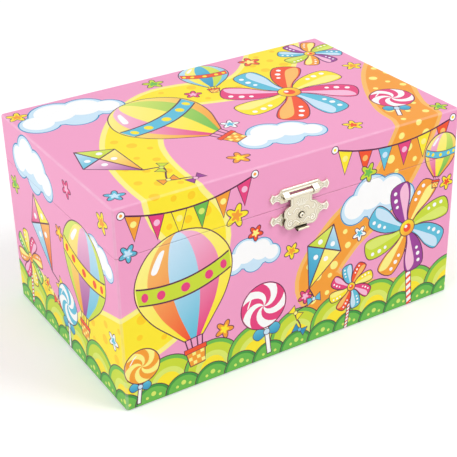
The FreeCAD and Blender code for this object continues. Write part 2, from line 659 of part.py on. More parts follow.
def wing_outline(top, bottom, tip_z):
    """Outline of a catch plate: a straight waist, a step at each end and a dipped wing flared to a point."""
    waist = CATCH_WAIST_WIDTH / 2
    tip = CATCH_PLATE_WIDTH / 2
    flare = tip - CATCH_WING_POINT
    step = waist + CATCH_STEP
    edges = [line(V(-waist, 0, top), V(waist, 0, top)), line(V(-waist, 0, bottom), V(waist, 0, bottom))]
    for side in (-1, 1):
        for sign, level in ((1, top), (-1, bottom)):
            corner = V(side * flare, 0, tip_z + sign * CATCH_WING_HEIGHT / 2)
            shoulder = V(side * step, 0, corner.z)
            dip = V(side * (step + flare) / 2, 0, corner.z - sign * CATCH_WING_DIP)
            edges.append(line(V(side * waist, 0, level), shoulder))
            edges.append(arc(shoulder, dip, corner))
            edges.append(line(corner, V(side * tip, 0, tip_z)))
    return edges


def catch_knuckle(x0, face):
    """A strap of the plate that slopes forward from the band above and curls round the pin."""
    pivot = V(x0, CATCH_PIVOT_Y, CATCH_PIVOT_Z)
    slope = math.radians(45)
    brow = pivot + V(0, -math.cos(slope), math.sin(slope)) * CATCH_KNUCKLE_RADIUS
    root = V(x0, face, CATCH_PIVOT_Z + CATCH_STRAP_RISE)
    heel = V(x0, face, CATCH_PIVOT_Z - CATCH_KNUCKLE_RADIUS)
    toe = V(x0, CATCH_PIVOT_Y, CATCH_PIVOT_Z - CATCH_KNUCKLE_RADIUS)
    profile = Part.Face(Part.makePolygon([root, brow, pivot, toe, heel, root]))
    strap = profile.extrude(X_AXIS * CATCH_KNUCKLE_WIDTH)
    return strap.fuse(rod(pivot, X_AXIS, CATCH_KNUCKLE_RADIUS, CATCH_KNUCKLE_WIDTH))


def make_catch_upper():
    face = -HALF_Y - CATCH_SHEET
    outline = wing_outline(UPPER_PLATE_TOP, UPPER_PLATE_BOTTOM, UPPER_TIP_Z)
    plate = plate_from_outline(outline, face, CATCH_SHEET)
    curl = FLAP_CURL_WIDTH / 2 + CATCH_KNUCKLE_GAP
    room = FLAP_CURL_RADIUS + CATCH_WINDOW_GAP
    window = block(-curl, curl, face, -HALF_Y, UPPER_PLATE_BOTTOM, CATCH_PIVOT_Z + room)
    plate = plate.cut(window)
    for x0 in (-curl - CATCH_KNUCKLE_WIDTH, curl):
        plate = plate.fuse(catch_knuckle(x0, face))
    behind_face = block(-HALF_X, HALF_X, -HALF_Y, HALF_Y, 0, BOX_HEIGHT)
    bore_end = curl + CATCH_KNUCKLE_WIDTH
    bore = rod(V(-bore_end, CATCH_PIVOT_Y, CATCH_PIVOT_Z), X_AXIS, CATCH_PIN_RADIUS, 2 * bore_end)
    parts["catch_upper_plate"] = plate.cut(behind_face).cut(bore).cut(UPPER_CATCH_NAILS).removeSplitter()
    pin_end = bore_end - CATCH_PIN_SINK
    parts["catch_pin"] = rod(V(-pin_end, CATCH_PIVOT_Y, CATCH_PIVOT_Z), X_AXIS, CATCH_PIN_RADIUS, 2 * pin_end)


def make_catch_lower():
    face = -HALF_Y - CATCH_SHEET
    outline = wing_outline(LOWER_PLATE_TOP, LOWER_PLATE_BOTTOM, LOWER_TIP_Z)
    plate = plate_from_outline(outline, face, CATCH_SHEET)
    stem = CATCH_GAP + CATCH_SHEET + CATCH_GAP
    stud = rod(V(0, face, STUD_Z), Y_AXIS * -1, STUD_RADIUS, stem + STUD_RADIUS / 2)
    stud_top = [e for e in stud.Edges if e.Closed and e.CenterOfMass.y < face - stem]
    stud = stud.makeFillet(STUD_RADIUS / 2, stud_top)
    parts["catch_lower_plate"] = plate.fuse(stud).cut(LOWER_CATCH_NAILS).removeSplitter()


def flap_outline():
    """Outline of the flap: a neck, round shoulders, a pinch at each side and two round feet with a fork."""
    neck = FLAP_NECK_WIDTH / 2
    wide = FLAP_WIDTH / 2
    tab = FLAP_TAB_WIDTH / 2
    foot_x = wide - FLAP_PINCH - FLAP_FOOT_RADIUS * math.sqrt(0.5)
    foot_z = FLAP_FOOT_Z + FLAP_FOOT_RADIUS
    edges = [line(V(-neck, 0, CATCH_PIVOT_Z), V(neck, 0, CATCH_PIVOT_Z)),
             line(V(-tab, 0, FLAP_FORK_Z), V(tab, 0, FLAP_FORK_Z))]
    for side in (-1, 1):
        neck_end = V(side * neck, 0, FLAP_NECK_Z)
        shoulder = V(side * wide, 0, FLAP_SHOULDER_Z)
        bulge = (neck_end + shoulder) * 0.5 + V(side * FLAP_PINCH / 2, 0, FLAP_PINCH / 2)
        hip = V(side * wide, 0, FLAP_PINCH_Z + FLAP_PINCH)
        pinch = V(side * (wide - FLAP_PINCH), 0, FLAP_PINCH_Z)
        foot_side = V(side * (foot_x + FLAP_FOOT_RADIUS), 0, foot_z)
        foot = V(side * foot_x, 0, FLAP_FOOT_Z)
        fork = V(side * tab, 0, FLAP_FORK_Z)
        edges += [line(V(side * neck, 0, CATCH_PIVOT_Z), neck_end), arc(neck_end, bulge, shoulder),
                  line(shoulder, hip), line(hip, pinch), arc(pinch, foot_side, foot), line(foot, fork)]
    return edges


def make_catch_flap():
    front = CATCH_PIVOT_Y - CATCH_SHEET / 2
    flap = plate_from_outline(flap_outline(), front, CATCH_SHEET)
    curl_end = V(-FLAP_CURL_WIDTH / 2, CATCH_PIVOT_Y, CATCH_PIVOT_Z)
    curl = rod(curl_end, X_AXIS, FLAP_CURL_RADIUS, FLAP_CURL_WIDTH)
    bore = rod(curl_end, X_AXIS, CATCH_PIN_RADIUS + PIN_PLAY, FLAP_CURL_WIDTH)
    hole = rod(V(0, front, STUD_Z), Y_AXIS, STUD_RADIUS + STUD_HOLE_PLAY, CATCH_SHEET)
    tab_end = V(-FLAP_TAB_WIDTH / 2, front - FLAP_TAB_RADIUS + CATCH_SHEET, FLAP_FORK_Z)
    lip = tube(tab_end, X_AXIS, FLAP_TAB_RADIUS, FLAP_TAB_RADIUS - CATCH_SHEET, FLAP_TAB_WIDTH)
    above = block(-HALF_X, HALF_X, -BOX_DEPTH, 0, FLAP_FORK_Z, BOX_HEIGHT)
    parts["catch_flap"] = flap.fuse(curl).fuse(lip.cut(above)).cut(bore).cut(hole).removeSplitter()


def make_catch_nails():
    parts["catch_nails_upper"] = group([nail(p, Y_AXIS, NAIL_LENGTH) for p in catch_nail_points(UPPER_TIP_Z)])
    parts["catch_nails_lower"] = group([nail(p, Y_AXIS, NAIL_LENGTH) for p in catch_nail_points(LOWER_TIP_Z)])


# Musical movement: cast frame on the back board, spring housing, crown wheel, pinned cylinder, comb and fan
def make_movement_frame():
    low = FLOOR_TOP + BEDPLATE_CLEAR
    frame = block(-BEDPLATE_LEFT, BEDPLATE_RIGHT, BEDPLATE_FRONT, INNER_Y, low, BEDPLATE_TOP)
    upright = [e for e in frame.Edges if abs(e.tangentAt(e.FirstParameter).y) > 0.9]
    frame = frame.makeFillet(BEDPLATE, upright)
    arm = 2 * CYLINDER_ARBOR_RADIUS + POST_WIDTH
    post_x = CYLINDER_START - GEAR_GAP / 2 - POST_WIDTH
    post = block(post_x, post_x + POST_WIDTH, ROLLER_Y - arm, BEDPLATE_FRONT, WIND_Z - arm, WIND_Z + arm)
    comb_back = ROLLER_Y + COMB_THICKNESS / 2
    ledge = block(CYLINDER_START, CYLINDER_END, comb_back, BEDPLATE_FRONT, low, low + COMB_FOOT)
    plate = block(TRAIN_PLATE_X, TRAIN_PLATE_X + TRAIN_PLATE, FAN_Y - arm, BEDPLATE_FRONT,
                  IDLER_Z - arm, WIND_Z + arm)
    stud_length = TRAIN_PLATE_X - END_WHEEL_X
    idler_stud = rod(V(END_WHEEL_X, ROLLER_Y, IDLER_Z), X_AXIS, STUD_SHAFT_RADIUS, stud_length)
    fan_stud = rod(V(IDLER_WHEEL_X, FAN_Y, IDLER_Z), X_AXIS, STUD_SHAFT_RADIUS, TRAIN_PLATE_X - IDLER_WHEEL_X)
    frame = frame.multiFuse([post, ledge, plate, idler_stud, fan_stud])
    bearing = rod(V(post_x, ROLLER_Y, WIND_Z), X_AXIS, CYLINDER_ARBOR_RADIUS + ARBOR_PLAY,
                  TRAIN_PLATE_X + TRAIN_PLATE - post_x)
    arbor_hole = rod(V(0, BEDPLATE_FRONT, WIND_Z), Y_AXIS, ARBOR_RADIUS + ARBOR_PLAY, BEDPLATE)
    frame = frame.cut(bearing).cut(arbor_hole).cut(MOVEMENT_SCREW_HOLES).cut(comb_screw_holes())
    parts["movement_frame"] = frame.removeSplitter()


def comb_screw_points():
    inset = CYLINDER_LENGTH / 4
    z = FLOOR_TOP + BEDPLATE_CLEAR + COMB_FOOT / 2
    y = ROLLER_Y - COMB_THICKNESS / 2
    return [V(CYLINDER_START + inset, y, z), V(CYLINDER_END - inset, y, z)]


def comb_screw_holes():
    return group([rod(p, Y_AXIS, COMB_SCREW_RADIUS, COMB_SCREW_LENGTH) for p in comb_screw_points()])


def slotted_screw(head_point, into, radius, head_radius, head, length):
    """A cheese-head screw whose head stands on head_point."""
    cap = rod(head_point, into * -1, head_radius, head)
    across = into.cross(Z_AXIS)
    slot = block(-head_radius, head_radius, -radius / 4, radius / 4, head / 2, head)
    return cap.cut(seat(slot, head_point, into * -1, across)).fuse(rod(head_point, into, radius, length))


def make_movement_screws():
    parts["movement_screws"] = group([
        slotted_screw(p, Y_AXIS, MOVEMENT_SCREW_RADIUS, MOVEMENT_SCREW_HEAD_RADIUS, MOVEMENT_SCREW_HEAD,
                      MOVEMENT_SCREW_LENGTH) for p in movement_screw_points()])
    parts["comb_screws"] = group([
        slotted_screw(p, Y_AXIS, COMB_SCREW_RADIUS, COMB_SCREW_HEAD_RADIUS, COMB_SCREW_HEAD,
                      COMB_SCREW_LENGTH) for p in comb_screw_points()])


def make_spring_housing():
    start = V(0, HOUSING_FRONT, WIND_Z)
    can = rod(start, Y_AXIS, HOUSING_RADIUS, HOUSING_DEPTH)
    middle = HOUSING_FRONT + HOUSING_DEPTH / 2
    can = can.makeFillet(HOUSING_WALL, [e for e in can.Edges if e.Closed and e.CenterOfMass.y < middle])
    hollow_start = V(0, HOUSING_FRONT + HOUSING_WALL, WIND_Z)
    hollow = rod(hollow_start, Y_AXIS, HOUSING_RADIUS - HOUSING_WALL, HOUSING_DEPTH)
    mouth = rod(start, Y_AXIS, ARBOR_RADIUS + ARBOR_PLAY, HOUSING_DEPTH)
    parts["spring_housing"] = can.cut(hollow).cut(mouth)


def make_mainspring():
    """A flat steel spiral in half-turn arcs from the arbor out to the housing wall."""
    halves = 2 * SPRING_TURNS
    growth = (SPRING_OUTER_RADIUS - SPRING_INNER_RADIUS) / halves
    clear = HOUSING_WALL
    inner_edges, outer_edges = [], []
    side = -1
    start = -SPRING_INNER_RADIUS
    for half in range(halves):
        radius = SPRING_INNER_RADIUS + growth * half + growth / 2
        end = start - side * 2 * radius
        middle = (start + end) / 2
        for edges, offset in ((inner_edges, 0.0), (outer_edges, SPRING_STRIP)):
            a = V(start + side * offset, 0, 0)
            b = V(end - side * offset, 0, 0)
            top = V(middle, -side * (radius + offset), 0)
            edges.append(Part.Arc(a, top, b).toShape())
        start = end
        side = -side
    first = Part.LineSegment(inner_edges[0].Vertexes[0].Point, outer_edges[0].Vertexes[0].Point).toShape()
    last = Part.LineSegment(inner_edges[-1].Vertexes[-1].Point, outer_edges[-1].Vertexes[-1].Point).toShape()
    outline = Part.Wire(Part.__sortEdges__(inner_edges + outer_edges + [first, last]))
    depth = HOUSING_DEPTH - HOUSING_WALL - 2 * clear
    strip = Part.Face(outline).extrude(V(0, 0, depth))
    parts["mainspring"] = seat(strip, V(0, HOUSING_FRONT + HOUSING_WALL + clear, WIND_Z), Y_AXIS, X_AXIS)


def make_winding_parts():
    wheel = crown_wheel()
    parts["drive_wheel"] = seat(wheel, V(0, CROWN_ROOT_Y, WIND_Z), Y_AXIS * -1, X_AXIS)
    key_start = HALF_Y + ESCUTCHEON + KEY_GAP
    seat_depth = KEY_HUB_LENGTH / 2
    arbor_length = key_start + seat_depth - CROWN_ROOT_Y
    parts["winding_arbor"] = rod(V(0, CROWN_ROOT_Y, WIND_Z), Y_AXIS, ARBOR_RADIUS, arbor_length)
    hub = rod(V(0, key_start, WIND_Z), Y_AXIS, KEY_HUB_RADIUS, KEY_HUB_LENGTH)
    wing_start = key_start + KEY_HUB_LENGTH - 2 * KEY_WING
    lobe = KEY_WING_LENGTH / 2
    wing_middle = KEY_WING_REACH - lobe
    centre_y = wing_start + lobe
    wing = block(-KEY_WING / 2, KEY_WING / 2, wing_start, wing_start + KEY_WING_LENGTH,
                 WIND_Z - wing_middle, WIND_Z + wing_middle)
    waist = rod(V(-KEY_WING, wing_start + KEY_WING_LENGTH + lobe / 2, WIND_Z), X_AXIS, lobe, 2 * KEY_WING)
    key = wing.cut(waist)
    for side in (-1, 1):
        ear = V(-KEY_WING / 2, centre_y, WIND_Z + side * wing_middle)
        key = key.fuse(rod(ear, X_AXIS, lobe, KEY_WING)).cut(rod(ear, X_AXIS, KEY_EYE_RADIUS, KEY_WING))
    key = key.fuse(hub).cut(rod(V(0, key_start, WIND_Z), Y_AXIS, ARBOR_RADIUS, seat_depth))
    parts["winding_key"] = key.removeSplitter()
    ring = tube(V(0, HALF_Y, WIND_Z), Y_AXIS, ESCUTCHEON_RADIUS, ARBOR_RADIUS + KEY_HOLE_PLAY, ESCUTCHEON)
    back_edges = [e for e in ring.Edges if e.Closed and e.CenterOfMass.y > HALF_Y + ESCUTCHEON / 2]
    parts["key_escutcheon"] = ring.makeFillet(ESCUTCHEON / 2, [max(back_edges, key=lambda e: e.Length)])


def make_cylinder():
    """The pinned cylinder on its arbor, with a pinion at the crown wheel and a wheel at the fan end."""
    start = V(CYLINDER_START, ROLLER_Y, WIND_Z)
    barrel = rod(start, X_AXIS, CYLINDER_RADIUS, CYLINDER_LENGTH)
    barrel = barrel.cut(rod(start, X_AXIS, CYLINDER_ARBOR_RADIUS, CYLINDER_LENGTH))
    track = CYLINDER_LENGTH / COMB_TEETH
    pins = []
    for tooth in range(COMB_TEETH):
        middle = V(CYLINDER_START + track * (tooth + 0.5), ROLLER_Y, WIND_Z)
        for number in range(PINS_PER_TRACK):
            uneven = 0.5 * math.sin(3 * tooth + 2 * number)
            turn = 2 * math.pi * (number + uneven) / PINS_PER_TRACK + PIN_LAG * tooth
            out = V(0, math.cos(turn), math.sin(turn))
            foot = middle + out * (CYLINDER_RADIUS - CYLINDER_PIN_HEIGHT)
            pins.append(rod(foot, out, CYLINDER_PIN_RADIUS, 2 * CYLINDER_PIN_HEIGHT))
    parts["pin_cylinder"] = barrel.multiFuse(pins)
    half_tooth = math.pi / CROWN_PINION_TEETH
    pinion_start = CROWN_RADIUS - CROWN_FACE / 2
    pinion = spur_wheel(CROWN_PINION_TEETH, CROWN_MODULE, CROWN_FACE, CYLINDER_ARBOR_RADIUS, half_tooth)
    parts["cylinder_pinion"] = seat(pinion, V(pinion_start, ROLLER_Y, WIND_Z), X_AXIS, Y_AXIS)
    wheel = spur_wheel(END_WHEEL_TEETH, TRAIN_MODULE, GEAR_WIDTH, CYLINDER_ARBOR_RADIUS, 0)
    parts["cylinder_end_wheel"] = seat(wheel, V(END_WHEEL_X, ROLLER_Y, WIND_Z), X_AXIS, Z_AXIS * -1)
    arbor_length = TRAIN_PLATE_X + TRAIN_PLATE - pinion_start
    arbor_end = V(pinion_start, ROLLER_Y, WIND_Z)
    parts["cylinder_arbor"] = rod(arbor_end, X_AXIS, CYLINDER_ARBOR_RADIUS, arbor_length)


def make_comb():
    """A steel comb whose teeth shorten from the low notes to the high ones."""
    tip = WIND_Z - CYLINDER_RADIUS - CYLINDER_PIN_HEIGHT - COMB_TIP_GAP
    low = FLOOR_TOP + BEDPLATE_CLEAR
    front = ROLLER_Y - COMB_THICKNESS / 2
    comb = block(CYLINDER_START, CYLINDER_END, front, front + COMB_THICKNESS, low, tip)
    track = CYLINDER_LENGTH / COMB_TEETH
    slit = track * (1 - COMB_TOOTH_SHARE)
    slits = []
    for number in range(COMB_TEETH + 1):
        length = COMB_LONG_TOOTH + (COMB_SHORT_TOOTH - COMB_LONG_TOOTH) * number / COMB_TEETH
        x = CYLINDER_START + track * number
        slits.append(block(x - slit / 2, x + slit / 2, front, front + COMB_THICKNESS, tip - length, tip))
    parts["comb"] = comb.cut(group(slits)).cut(comb_screw_holes())


def make_idler():
    bore = STUD_SHAFT_RADIUS + STUD_SHAFT_PLAY
    half_tooth = math.pi / IDLER_PINION_TEETH
    pinion = spur_wheel(IDLER_PINION_TEETH, TRAIN_MODULE, GEAR_WIDTH + GEAR_GAP, bore, half_tooth)
    wheel = spur_wheel(IDLER_WHEEL_TEETH, FAN_MODULE, GEAR_WIDTH, bore, 0)
    at_pinion = seat(pinion, V(END_WHEEL_X, ROLLER_Y, IDLER_Z), X_AXIS, Z_AXIS)
    at_wheel = seat(wheel, V(IDLER_WHEEL_X, ROLLER_Y, IDLER_Z), X_AXIS, Y_AXIS * -1)
    parts["idler_gear"] = at_pinion.fuse(at_wheel)


def make_fan():
    bore = STUD_SHAFT_RADIUS + STUD_SHAFT_PLAY
    hub_radius = FAN_MODULE * FAN_PINION_TEETH / 2 - GEAR_DEDENDUM * FAN_MODULE
    pinion = spur_wheel(FAN_PINION_TEETH, FAN_MODULE, GEAR_WIDTH, bore, math.pi / FAN_PINION_TEETH)
    at_pinion = seat(pinion, V(IDLER_WHEEL_X, FAN_Y, IDLER_Z), X_AXIS, Y_AXIS)
    hub_start = IDLER_WHEEL_X + GEAR_WIDTH
    hub = tube(V(hub_start, FAN_Y, IDLER_Z), X_AXIS, hub_radius, bore, BRAKE_X - hub_start)
    blades = block(FAN_X, FAN_X + FAN_LENGTH, FAN_Y - FAN_BLADE / 2, FAN_Y + FAN_BLADE / 2,
                   IDLER_Z - FAN_RADIUS, IDLER_Z + FAN_RADIUS)
    blades = blades.cut(rod(V(FAN_X, FAN_Y, IDLER_Z), X_AXIS, (hub_radius + bore) / 2, FAN_LENGTH))
    drum = tube(V(BRAKE_X, FAN_Y, IDLER_Z), X_AXIS, BRAKE_RADIUS, bore, BRAKE_WIDTH)
    parts["governor_fan"] = at_pinion.multiFuse([hub, blades, drum])


# Stop wire: the lid holds it down on the fan's brake drum, and it lifts as the lid opens
def make_stop_wire():
    """A bent wire: a foot over the brake drum, an arm to the back and a rod up through the deck."""
    top = PRESSER_BOTTOM - STOP_WIRE_GAP
    bend = 4 * STOP_WIRE_RADIUS
    slant = math.sqrt(0.5)
    start = V(STOP_WIRE_X, FAN_Y - BRAKE_RADIUS / 2, STOP_ARM_Z)
    turn_in = V(STOP_WIRE_X, STOP_WIRE_Y - bend, STOP_ARM_Z)
    turn_middle = V(STOP_WIRE_X, STOP_WIRE_Y - bend * (1 - slant), STOP_ARM_Z + bend * (1 - slant))
    turn_out = V(STOP_WIRE_X, STOP_WIRE_Y, STOP_ARM_Z + bend)
    path = Part.Wire([
        Part.LineSegment(start, turn_in).toShape(),
        Part.Arc(turn_in, turn_middle, turn_out).toShape(),
        Part.LineSegment(turn_out, V(STOP_WIRE_X, STOP_WIRE_Y, top)).toShape(),
    ])
    section = Part.Wire(Part.Circle(start, Y_AXIS, STOP_WIRE_RADIUS).toShape())
    parts["stop_wire"] = path.makePipeShell([section], True, False)
    back = INNER_Y - LINING
    parts["lid_presser"] = block(STOP_WIRE_X - PRESSER_WIDTH / 2, STOP_WIRE_X + PRESSER_WIDTH / 2,
                                 back - PRESSER_REACH, back, PRESSER_BOTTOM, LID_CEILING - LINING)


# Dancer: a spindle driven by the crown wheel, a stand, a coil spring and the figure with her tutu
def make_spindle():
    foot = V(0, ROLLER_Y, FLOOR_TOP)
    cup = rod(foot, Z_AXIS, FOOT_CUP_RADIUS, FOOT_CUP_HEIGHT)
    well = V(0, ROLLER_Y, FLOOR_TOP + FOOT_CUP_HEIGHT - FOOT_CUP_DEPTH)
    parts["spindle_foot"] = cup.cut(rod(well, Z_AXIS, SPINDLE_RADIUS + SPINDLE_PLAY, FOOT_CUP_DEPTH))
    tip = V(0, ROLLER_Y, well.z + SPINDLE_PLAY)
    parts["spindle_shaft"] = rod(tip, Z_AXIS, SPINDLE_RADIUS, SPRING_BOTTOM - tip.z)
    pinion = spur_wheel(CROWN_PINION_TEETH, CROWN_MODULE, CROWN_FACE, SPINDLE_RADIUS, 0)
    pinion_bottom = WIND_Z + CROWN_RADIUS - CROWN_FACE / 2
    parts["spindle_pinion"] = seat(pinion, V(0, ROLLER_Y, pinion_bottom), Z_AXIS, Y_AXIS)
    stand = rod(V(0, ROLLER_Y, STAND_BOTTOM), Z_AXIS, STAND_RADIUS, STAND)
    stand = stand.makeFillet(STAND / 3, edges_at_height(stand, SPRING_BOTTOM))
    parts["dancer_stand"] = stand.cut(rod(V(0, ROLLER_Y, STAND_BOTTOM), Z_AXIS, SPINDLE_RADIUS, STAND))


def arc_between(a, direction, b):
    """The arc that leaves a along direction and ends at b."""
    chord = b - a
    half = chord.Length / 2
    turn = direction.getAngle(chord)
    corner = a + direction * (half / math.cos(turn))
    middle = (a + b) * 0.5
    out = corner - middle
    out.normalize()
    return Part.Arc(a, middle + out * (half * math.tan(turn / 2)), b).toShape()


def biarc(a, a_way, b, b_way):
    """Two arcs that join a to b, leave a along a_way, reach b along b_way and meet without a kink."""
    span = b - a
    along = span.dot(a_way + b_way)
    spread = 2 * (1 - a_way.dot(b_way))
    reach = (-along + math.sqrt(along * along + spread * span.dot(span))) / spread
    joint = (a + b + (a_way - b_way) * reach) * 0.5
    return [arc_between(a, a_way, joint), arc_between(b, b_way * -1, joint)]


def make_dancer_spring():
    """One unbroken wire: a straight foot and a bend, whole turns in half-turn biarcs, a bend and a head."""
    straight = 2 * DANCER_SPRING_WIRE
    bend = DANCER_SPRING_BEND
    rise = DANCER_SPRING_HEIGHT - 2 * straight - 2 * bend
    turn_rise = rise / DANCER_SPRING_TURNS
    low = SPRING_BOTTOM + straight + bend

    def point(turns):
        angle = 2 * math.pi * turns
        return V(DANCER_SPRING_RADIUS * math.cos(angle), ROLLER_Y + DANCER_SPRING_RADIUS * math.sin(angle),
                 low + turn_rise * turns)

    def way(turns):
        angle = 2 * math.pi * turns
        around = 2 * math.pi * DANCER_SPRING_RADIUS
        return V(-around * math.sin(angle), around * math.cos(angle), turn_rise).normalize()

    foot = V(DANCER_SPRING_RADIUS, ROLLER_Y - bend, SPRING_BOTTOM)
    bend_start = foot + Z_AXIS * straight
    head = V(DANCER_SPRING_RADIUS, ROLLER_Y + bend, SPRING_BOTTOM + DANCER_SPRING_HEIGHT)
    bend_end = head - Z_AXIS * straight
    last = float(DANCER_SPRING_TURNS)
    edges = [Part.LineSegment(foot, bend_start).toShape()]
    edges += biarc(bend_start, Z_AXIS, point(0), way(0))
    for half in range(2 * DANCER_SPRING_TURNS):
        edges += biarc(point(half / 2), way(half / 2), point(half / 2 + 0.5), way(half / 2 + 0.5))
    edges += biarc(point(last), way(last), bend_end, Z_AXIS)
    edges.append(Part.LineSegment(bend_end, head).toShape())
    path = Part.Wire(Part.__sortEdges__(edges))
    section = Part.Wire(Part.Circle(foot, Z_AXIS, DANCER_SPRING_WIRE).toShape())
    parts["dancer_spring"] = path.makePipeShell([section], True, False)
    samples = path.discretize(Distance=DANCER_SPRING_WIRE / 2)
    apart = int(2 * math.pi * DANCER_SPRING_RADIUS / DANCER_SPRING_WIRE)
    pairs = [(p, q) for i, p in enumerate(samples) for q in samples[i + apart:]]
    least = min(p.distanceToPoint(q) for p, q in pairs) - 2 * DANCER_SPRING_WIRE
    print("dancer spring: least gap between turns is", round(least, 2), "mm")


def ellipse_ring(x, rings):
    """A level oval of the figure, at a head height with half width and half depth in heads."""
    height, half_width, half_depth = (HEAD * value for value in rings)
    centre = V(x, ROLLER_Y, FIGURE_BOTTOM + height)
    if half_width > half_depth:
        curve = Part.Ellipse(centre + V(half_width, 0, 0), centre + V(0, half_depth, 0), centre)
    else:
        curve = Part.Circle(centre, Z_AXIS, half_width)
    return Part.Wire(curve.toShape())


def figure_point(side, place):
    out, forward, height = (HEAD * value for value in place)
    return V(side * out, ROLLER_Y - forward, FIGURE_BOTTOM + height)


def make_dancer():
    """A moulded figure on pointe with raised arms, standing on a round plinth."""
    plinth = rod(V(0, ROLLER_Y, PLINTH_BOTTOM), Z_AXIS, PLINTH_RADIUS, PLINTH)
    plinth = plinth.makeFillet(PLINTH / 3, edges_at_height(plinth, FIGURE_BOTTOM))
    pieces = []
    arm_radius = HEAD * ARM_SHARE
    for side in (-1, 1):
        leg = [ellipse_ring(side * HEAD * LEG_SPREAD_SHARE, r) for r in LEG_RING_SHARES]
        pieces.append(Part.makeLoft(leg, True, False))
        shoulder = figure_point(side, SHOULDER_SHARES)
        elbow = figure_point(side, ELBOW_SHARES)
        hand = figure_point(side, HAND_SHARES)
        bow = arc(shoulder, elbow, hand)
        section = Part.Wire(Part.Circle(shoulder, bow.tangentAt(bow.FirstParameter), arm_radius).toShape())
        pieces.append(Part.Wire([bow]).makePipeShell([section], True, False))
        pieces.append(Part.makeSphere(arm_radius, hand))
    pieces.append(Part.makeLoft([ellipse_ring(0, r) for r in TORSO_RING_SHARES], True, False))
    skull = figure_point(1, (0, 0, SKULL_LEVEL_SHARE))
    nape = figure_point(1, (0, 0, NECK_LEVEL_SHARE))
    pieces.append(rod(nape, Z_AXIS, HEAD * NECK_SHARE, skull.z - nape.z))
    pieces.append(Part.makeSphere(HEAD * SKULL_SHARE, skull))
    chin = skull - V(0, HEAD * CHIN_FORWARD_SHARE, HEAD * CHIN_DROP_SHARE)
    bun = skull + V(0, HEAD * BUN_BACK_SHARE, HEAD * BUN_RISE_SHARE)
    pieces.append(Part.makeSphere(HEAD * CHIN_SHARE, chin))
    pieces.append(Part.makeSphere(HEAD * BUN_SHARE, bun))
    parts["dancer_figure"] = plinth.multiFuse(pieces).removeSplitter()


def make_tutu():
    """A pleated disc of stiff net about the hips, lower at its rim."""
    count = 2 * TUTU_PLEATS
    waist = HEAD * HIP_SHARE + TUTU_GAP
    height = FIGURE_BOTTOM + HEAD * HIP_LEVEL_SHARE

    def ring(radius, fold, z):
        turns = [2 * math.pi * number / count for number in range(count)]
        folds = [fold if number % 2 else -fold for number in range(count)]
        return [V(radius * math.cos(a), ROLLER_Y + radius * math.sin(a), z + f) for a, f in zip(turns, folds)]

    rim_height = height - TUTU_DROOP
    loops = [ring(waist, 0, height),
             ring(TUTU_RADIUS, TUTU_PLEAT_DEPTH, rim_height),
             ring(TUTU_RADIUS, TUTU_PLEAT_DEPTH, rim_height + TUTU_SHEET),
             ring(waist, 0, height + TUTU_SHEET)]
    faces = []
    for near, far in zip(loops, loops[1:] + loops[:1]):
        for number in range(count):
            following = (number + 1) % count
            corners = [near[number], near[following], far[following], far[number]]
            for triple in (corners[:3], [corners[0], corners[2], corners[3]]):
                faces.append(Part.Face(Part.makePolygon(triple + triple[:1])))
    net = Part.makeSolid(Part.makeShell(faces))
    if net.Volume < 0:
        net.reverse()
    parts["dancer_tutu"] = net


def build():
    make_base_boards()
    make_base_wrap()
    make_lid_boards()
    make_lid_wrap()
    make_linings()
    make_stage()
    make_ring_tray()
    make_mirror()
    make_hinges()
    make_hinge_nails()
    make_catch_upper()
    make_catch_lower()
    make_catch_flap()
    make_catch_nails()
    make_movement_frame()
    make_movement_screws()
    make_spring_housing()
    make_mainspring()
    make_winding_parts()
    make_cylinder()
    make_comb()
    make_idler()
    make_fan()
    make_stop_wire()
    make_spindle()
    make_dancer_spring()
    make_dancer()
    make_tutu()
    os.makedirs("parts", exist_ok=True)
    for name, shape in parts.items():
        shape.exportStep(f"parts/{name}.step")


build()
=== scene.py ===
import math

import bpy
import numpy as np
from mathutils import Matrix, Vector, geometry


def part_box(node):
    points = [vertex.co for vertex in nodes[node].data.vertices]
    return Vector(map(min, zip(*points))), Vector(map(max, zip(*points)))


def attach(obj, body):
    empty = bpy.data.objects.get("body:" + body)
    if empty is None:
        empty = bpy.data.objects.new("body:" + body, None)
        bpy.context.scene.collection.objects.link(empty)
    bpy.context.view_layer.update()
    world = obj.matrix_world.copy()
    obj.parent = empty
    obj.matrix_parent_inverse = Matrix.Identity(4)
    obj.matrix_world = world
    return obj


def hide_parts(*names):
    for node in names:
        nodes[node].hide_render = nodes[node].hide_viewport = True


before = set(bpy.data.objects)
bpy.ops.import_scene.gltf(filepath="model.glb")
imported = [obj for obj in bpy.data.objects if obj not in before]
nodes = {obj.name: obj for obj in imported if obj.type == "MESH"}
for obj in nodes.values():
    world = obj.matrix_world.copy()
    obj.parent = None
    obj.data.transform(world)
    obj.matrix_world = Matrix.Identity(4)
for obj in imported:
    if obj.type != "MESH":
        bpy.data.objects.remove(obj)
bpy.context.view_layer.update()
bpy.ops.object.select_all(action="DESELECT")

# Boards of the case and the lid: medium-density fibreboard, sawn square and glued at butt joints.
# The paper hides them, apart from thin bare lines inside the rims and under the hinges.
MM = 0.001


def linear(hex_code):
    """An sRGB hex colour as linear red, green, blue and alpha."""
    values = [int(hex_code[i:i + 2], 16) / 255 for i in (0, 2, 4)]
    return tuple(v / 12.92 if v <= 0.04045 else ((v + 0.055) / 1.055) ** 2.4 for v in values) + (1.0,)


